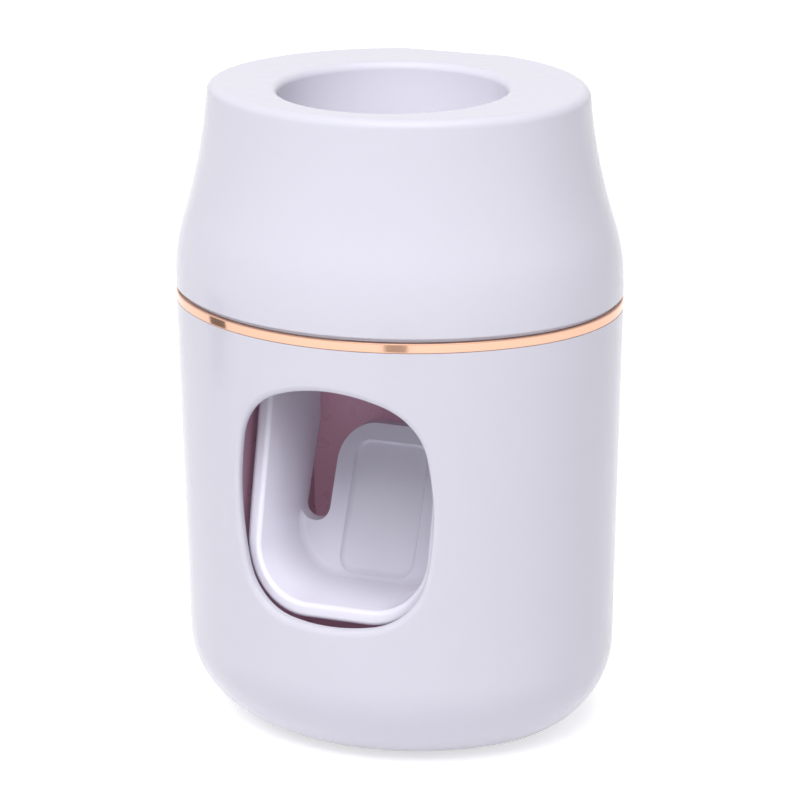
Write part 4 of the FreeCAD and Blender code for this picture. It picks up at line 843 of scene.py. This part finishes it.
def make_floor():
    bpy.ops.mesh.primitive_plane_add(size=FLOOR_SIZE, location=(0, 0, -FLOOR_DROP))
    floor = settle(named("floor"))
    material = bpy.data.materials.new("pale_floor")
    material.use_nodes = True
    tree = material.node_tree
    tree.nodes.clear()
    output = tree.nodes.new("ShaderNodeOutputMaterial")
    diffuse = tree.nodes.new("ShaderNodeBsdfDiffuse")
    diffuse.inputs["Color"].default_value = FLOOR_COLOUR
    glow = tree.nodes.new("ShaderNodeEmission")
    add = tree.nodes.new("ShaderNodeAddShader")
    level = tree.nodes.new("ShaderNodeMath")
    level.operation = "MULTIPLY"
    level.inputs[1].default_value = FLOOR_GLOW
    tree.links.new(seen_ray(tree), level.inputs[0])
    tree.links.new(level.outputs[0], glow.inputs["Strength"])
    tree.links.new(diffuse.outputs[0], add.inputs[0])
    tree.links.new(glow.outputs[0], add.inputs[1])
    tree.links.new(add.outputs[0], output.inputs["Surface"])
    floor.data.materials.append(material)


def softbox(name, place, target, size, power, glossy=True, only_on=(), through=False):
    """A rectangular lamp. With only_on it lights those pieces alone, and through lets it pass the others."""
    light = bpy.data.lights.new(name, "AREA")
    light.shape = "RECTANGLE"
    light.size, light.size_y = size
    light.energy = power
    obj = bpy.data.objects.new(name, light)
    bpy.context.scene.collection.objects.link(obj)
    obj.location = place
    obj.rotation_euler = (Vector(target) - Vector(place)).to_track_quat("-Z", "Y").to_euler()
    obj.visible_glossy = glossy
    obj.visible_camera = False
    if only_on:
        lit = bpy.data.collections.new(name + "_pieces")
        for piece in only_on:
            lit.objects.link(piece)
        obj.light_linking.receiver_collection = lit
        if through:
            obj.light_linking.blocker_collection = lit


def dark_card(name, place, size, level):
    """An upright card that only reflections see, turned towards the object."""
    facing = math.atan2(place[0], -place[1])
    bpy.ops.mesh.primitive_plane_add(size=1.0, location=place, rotation=(math.pi / 2, 0, facing))
    card = named(name)
    card.scale = (size[0], size[1], 1)
    settle(card)
    material = bpy.data.materials.new(name)
    material.use_nodes = True
    tree = material.node_tree
    tree.nodes.clear()
    output = tree.nodes.new("ShaderNodeOutputMaterial")
    glow = tree.nodes.new("ShaderNodeEmission")
    glow.inputs["Strength"].default_value = level
    tree.links.new(glow.outputs[0], output.inputs["Surface"])
    card.data.materials.append(material)
    card.visible_camera = False
    card.visible_diffuse = False
    card.visible_shadow = False
    card.visible_transmission = False


def make_camera():
    """The camera at the photograph's viewing angle."""
    turn, rise, roll = (math.radians(angle) for angle in (CAMERA_TURN, CAMERA_RISE, CAMERA_ROLL))
    back = Vector((math.sin(turn) * math.cos(rise), -math.cos(turn) * math.cos(rise), math.sin(rise)))
    right = Vector((math.cos(turn), math.sin(turn), 0))
    up = back.cross(right)
    place = (right * CAMERA_OFFSET + Vector((0, 0, CAMERA_HEIGHT)) + back * CAMERA_DISTANCE) * MM
    across = right * math.cos(roll) + up * math.sin(roll)
    upward = up * math.cos(roll) - right * math.sin(roll)
    camera = bpy.data.cameras.new("camera")
    camera.sensor_width = SENSOR_WIDTH
    camera.lens = FOCAL_PIXELS / FRAME_PIXELS * SENSOR_WIDTH
    camera.clip_end = 20.0
    obj = bpy.data.objects.new("camera", camera)
    bpy.context.scene.collection.objects.link(obj)
    matrix = obj.matrix_world.copy()
    for row in range(3):
        matrix[row] = (across[row], upward[row], back[row], place[row])
    obj.matrix_world = matrix
    bpy.context.scene.camera = obj


make_world()
make_floor()
softbox("front_light", (0.08, -1.02, 1.52), BODY_AIM, (1.5, 1.2), 21.5, glossy=False)
softbox("edge_light", (0.1, -0.3, 1.2), BODY_AIM, (1.0, 1.0), 3.8)
softbox("inside_light", (0.85, -0.45, 0.42), OPENING_AIM, (0.5, 0.5), 5.5, glossy=False, only_on=(cup,))
softbox("liner_light", (0.4, -1.0, 0.4), OPENING_AIM, (0.5, 0.5), 4.2, glossy=False, only_on=(liner,),
        through=True)
softbox("well_light", WELL_PLACE, WELL_AIM, (0.02, 0.01), 0.0011, glossy=False, only_on=(shell,))
dark_card("left_card", (-0.171, -0.039, 0.03), (0.036, 0.026), 0.28)
dark_card("middle_card", (0.045, -0.19, 0.029), (0.034, 0.024), 0.6)
make_camera()

bpy.context.scene.view_settings.view_transform = "Standard"
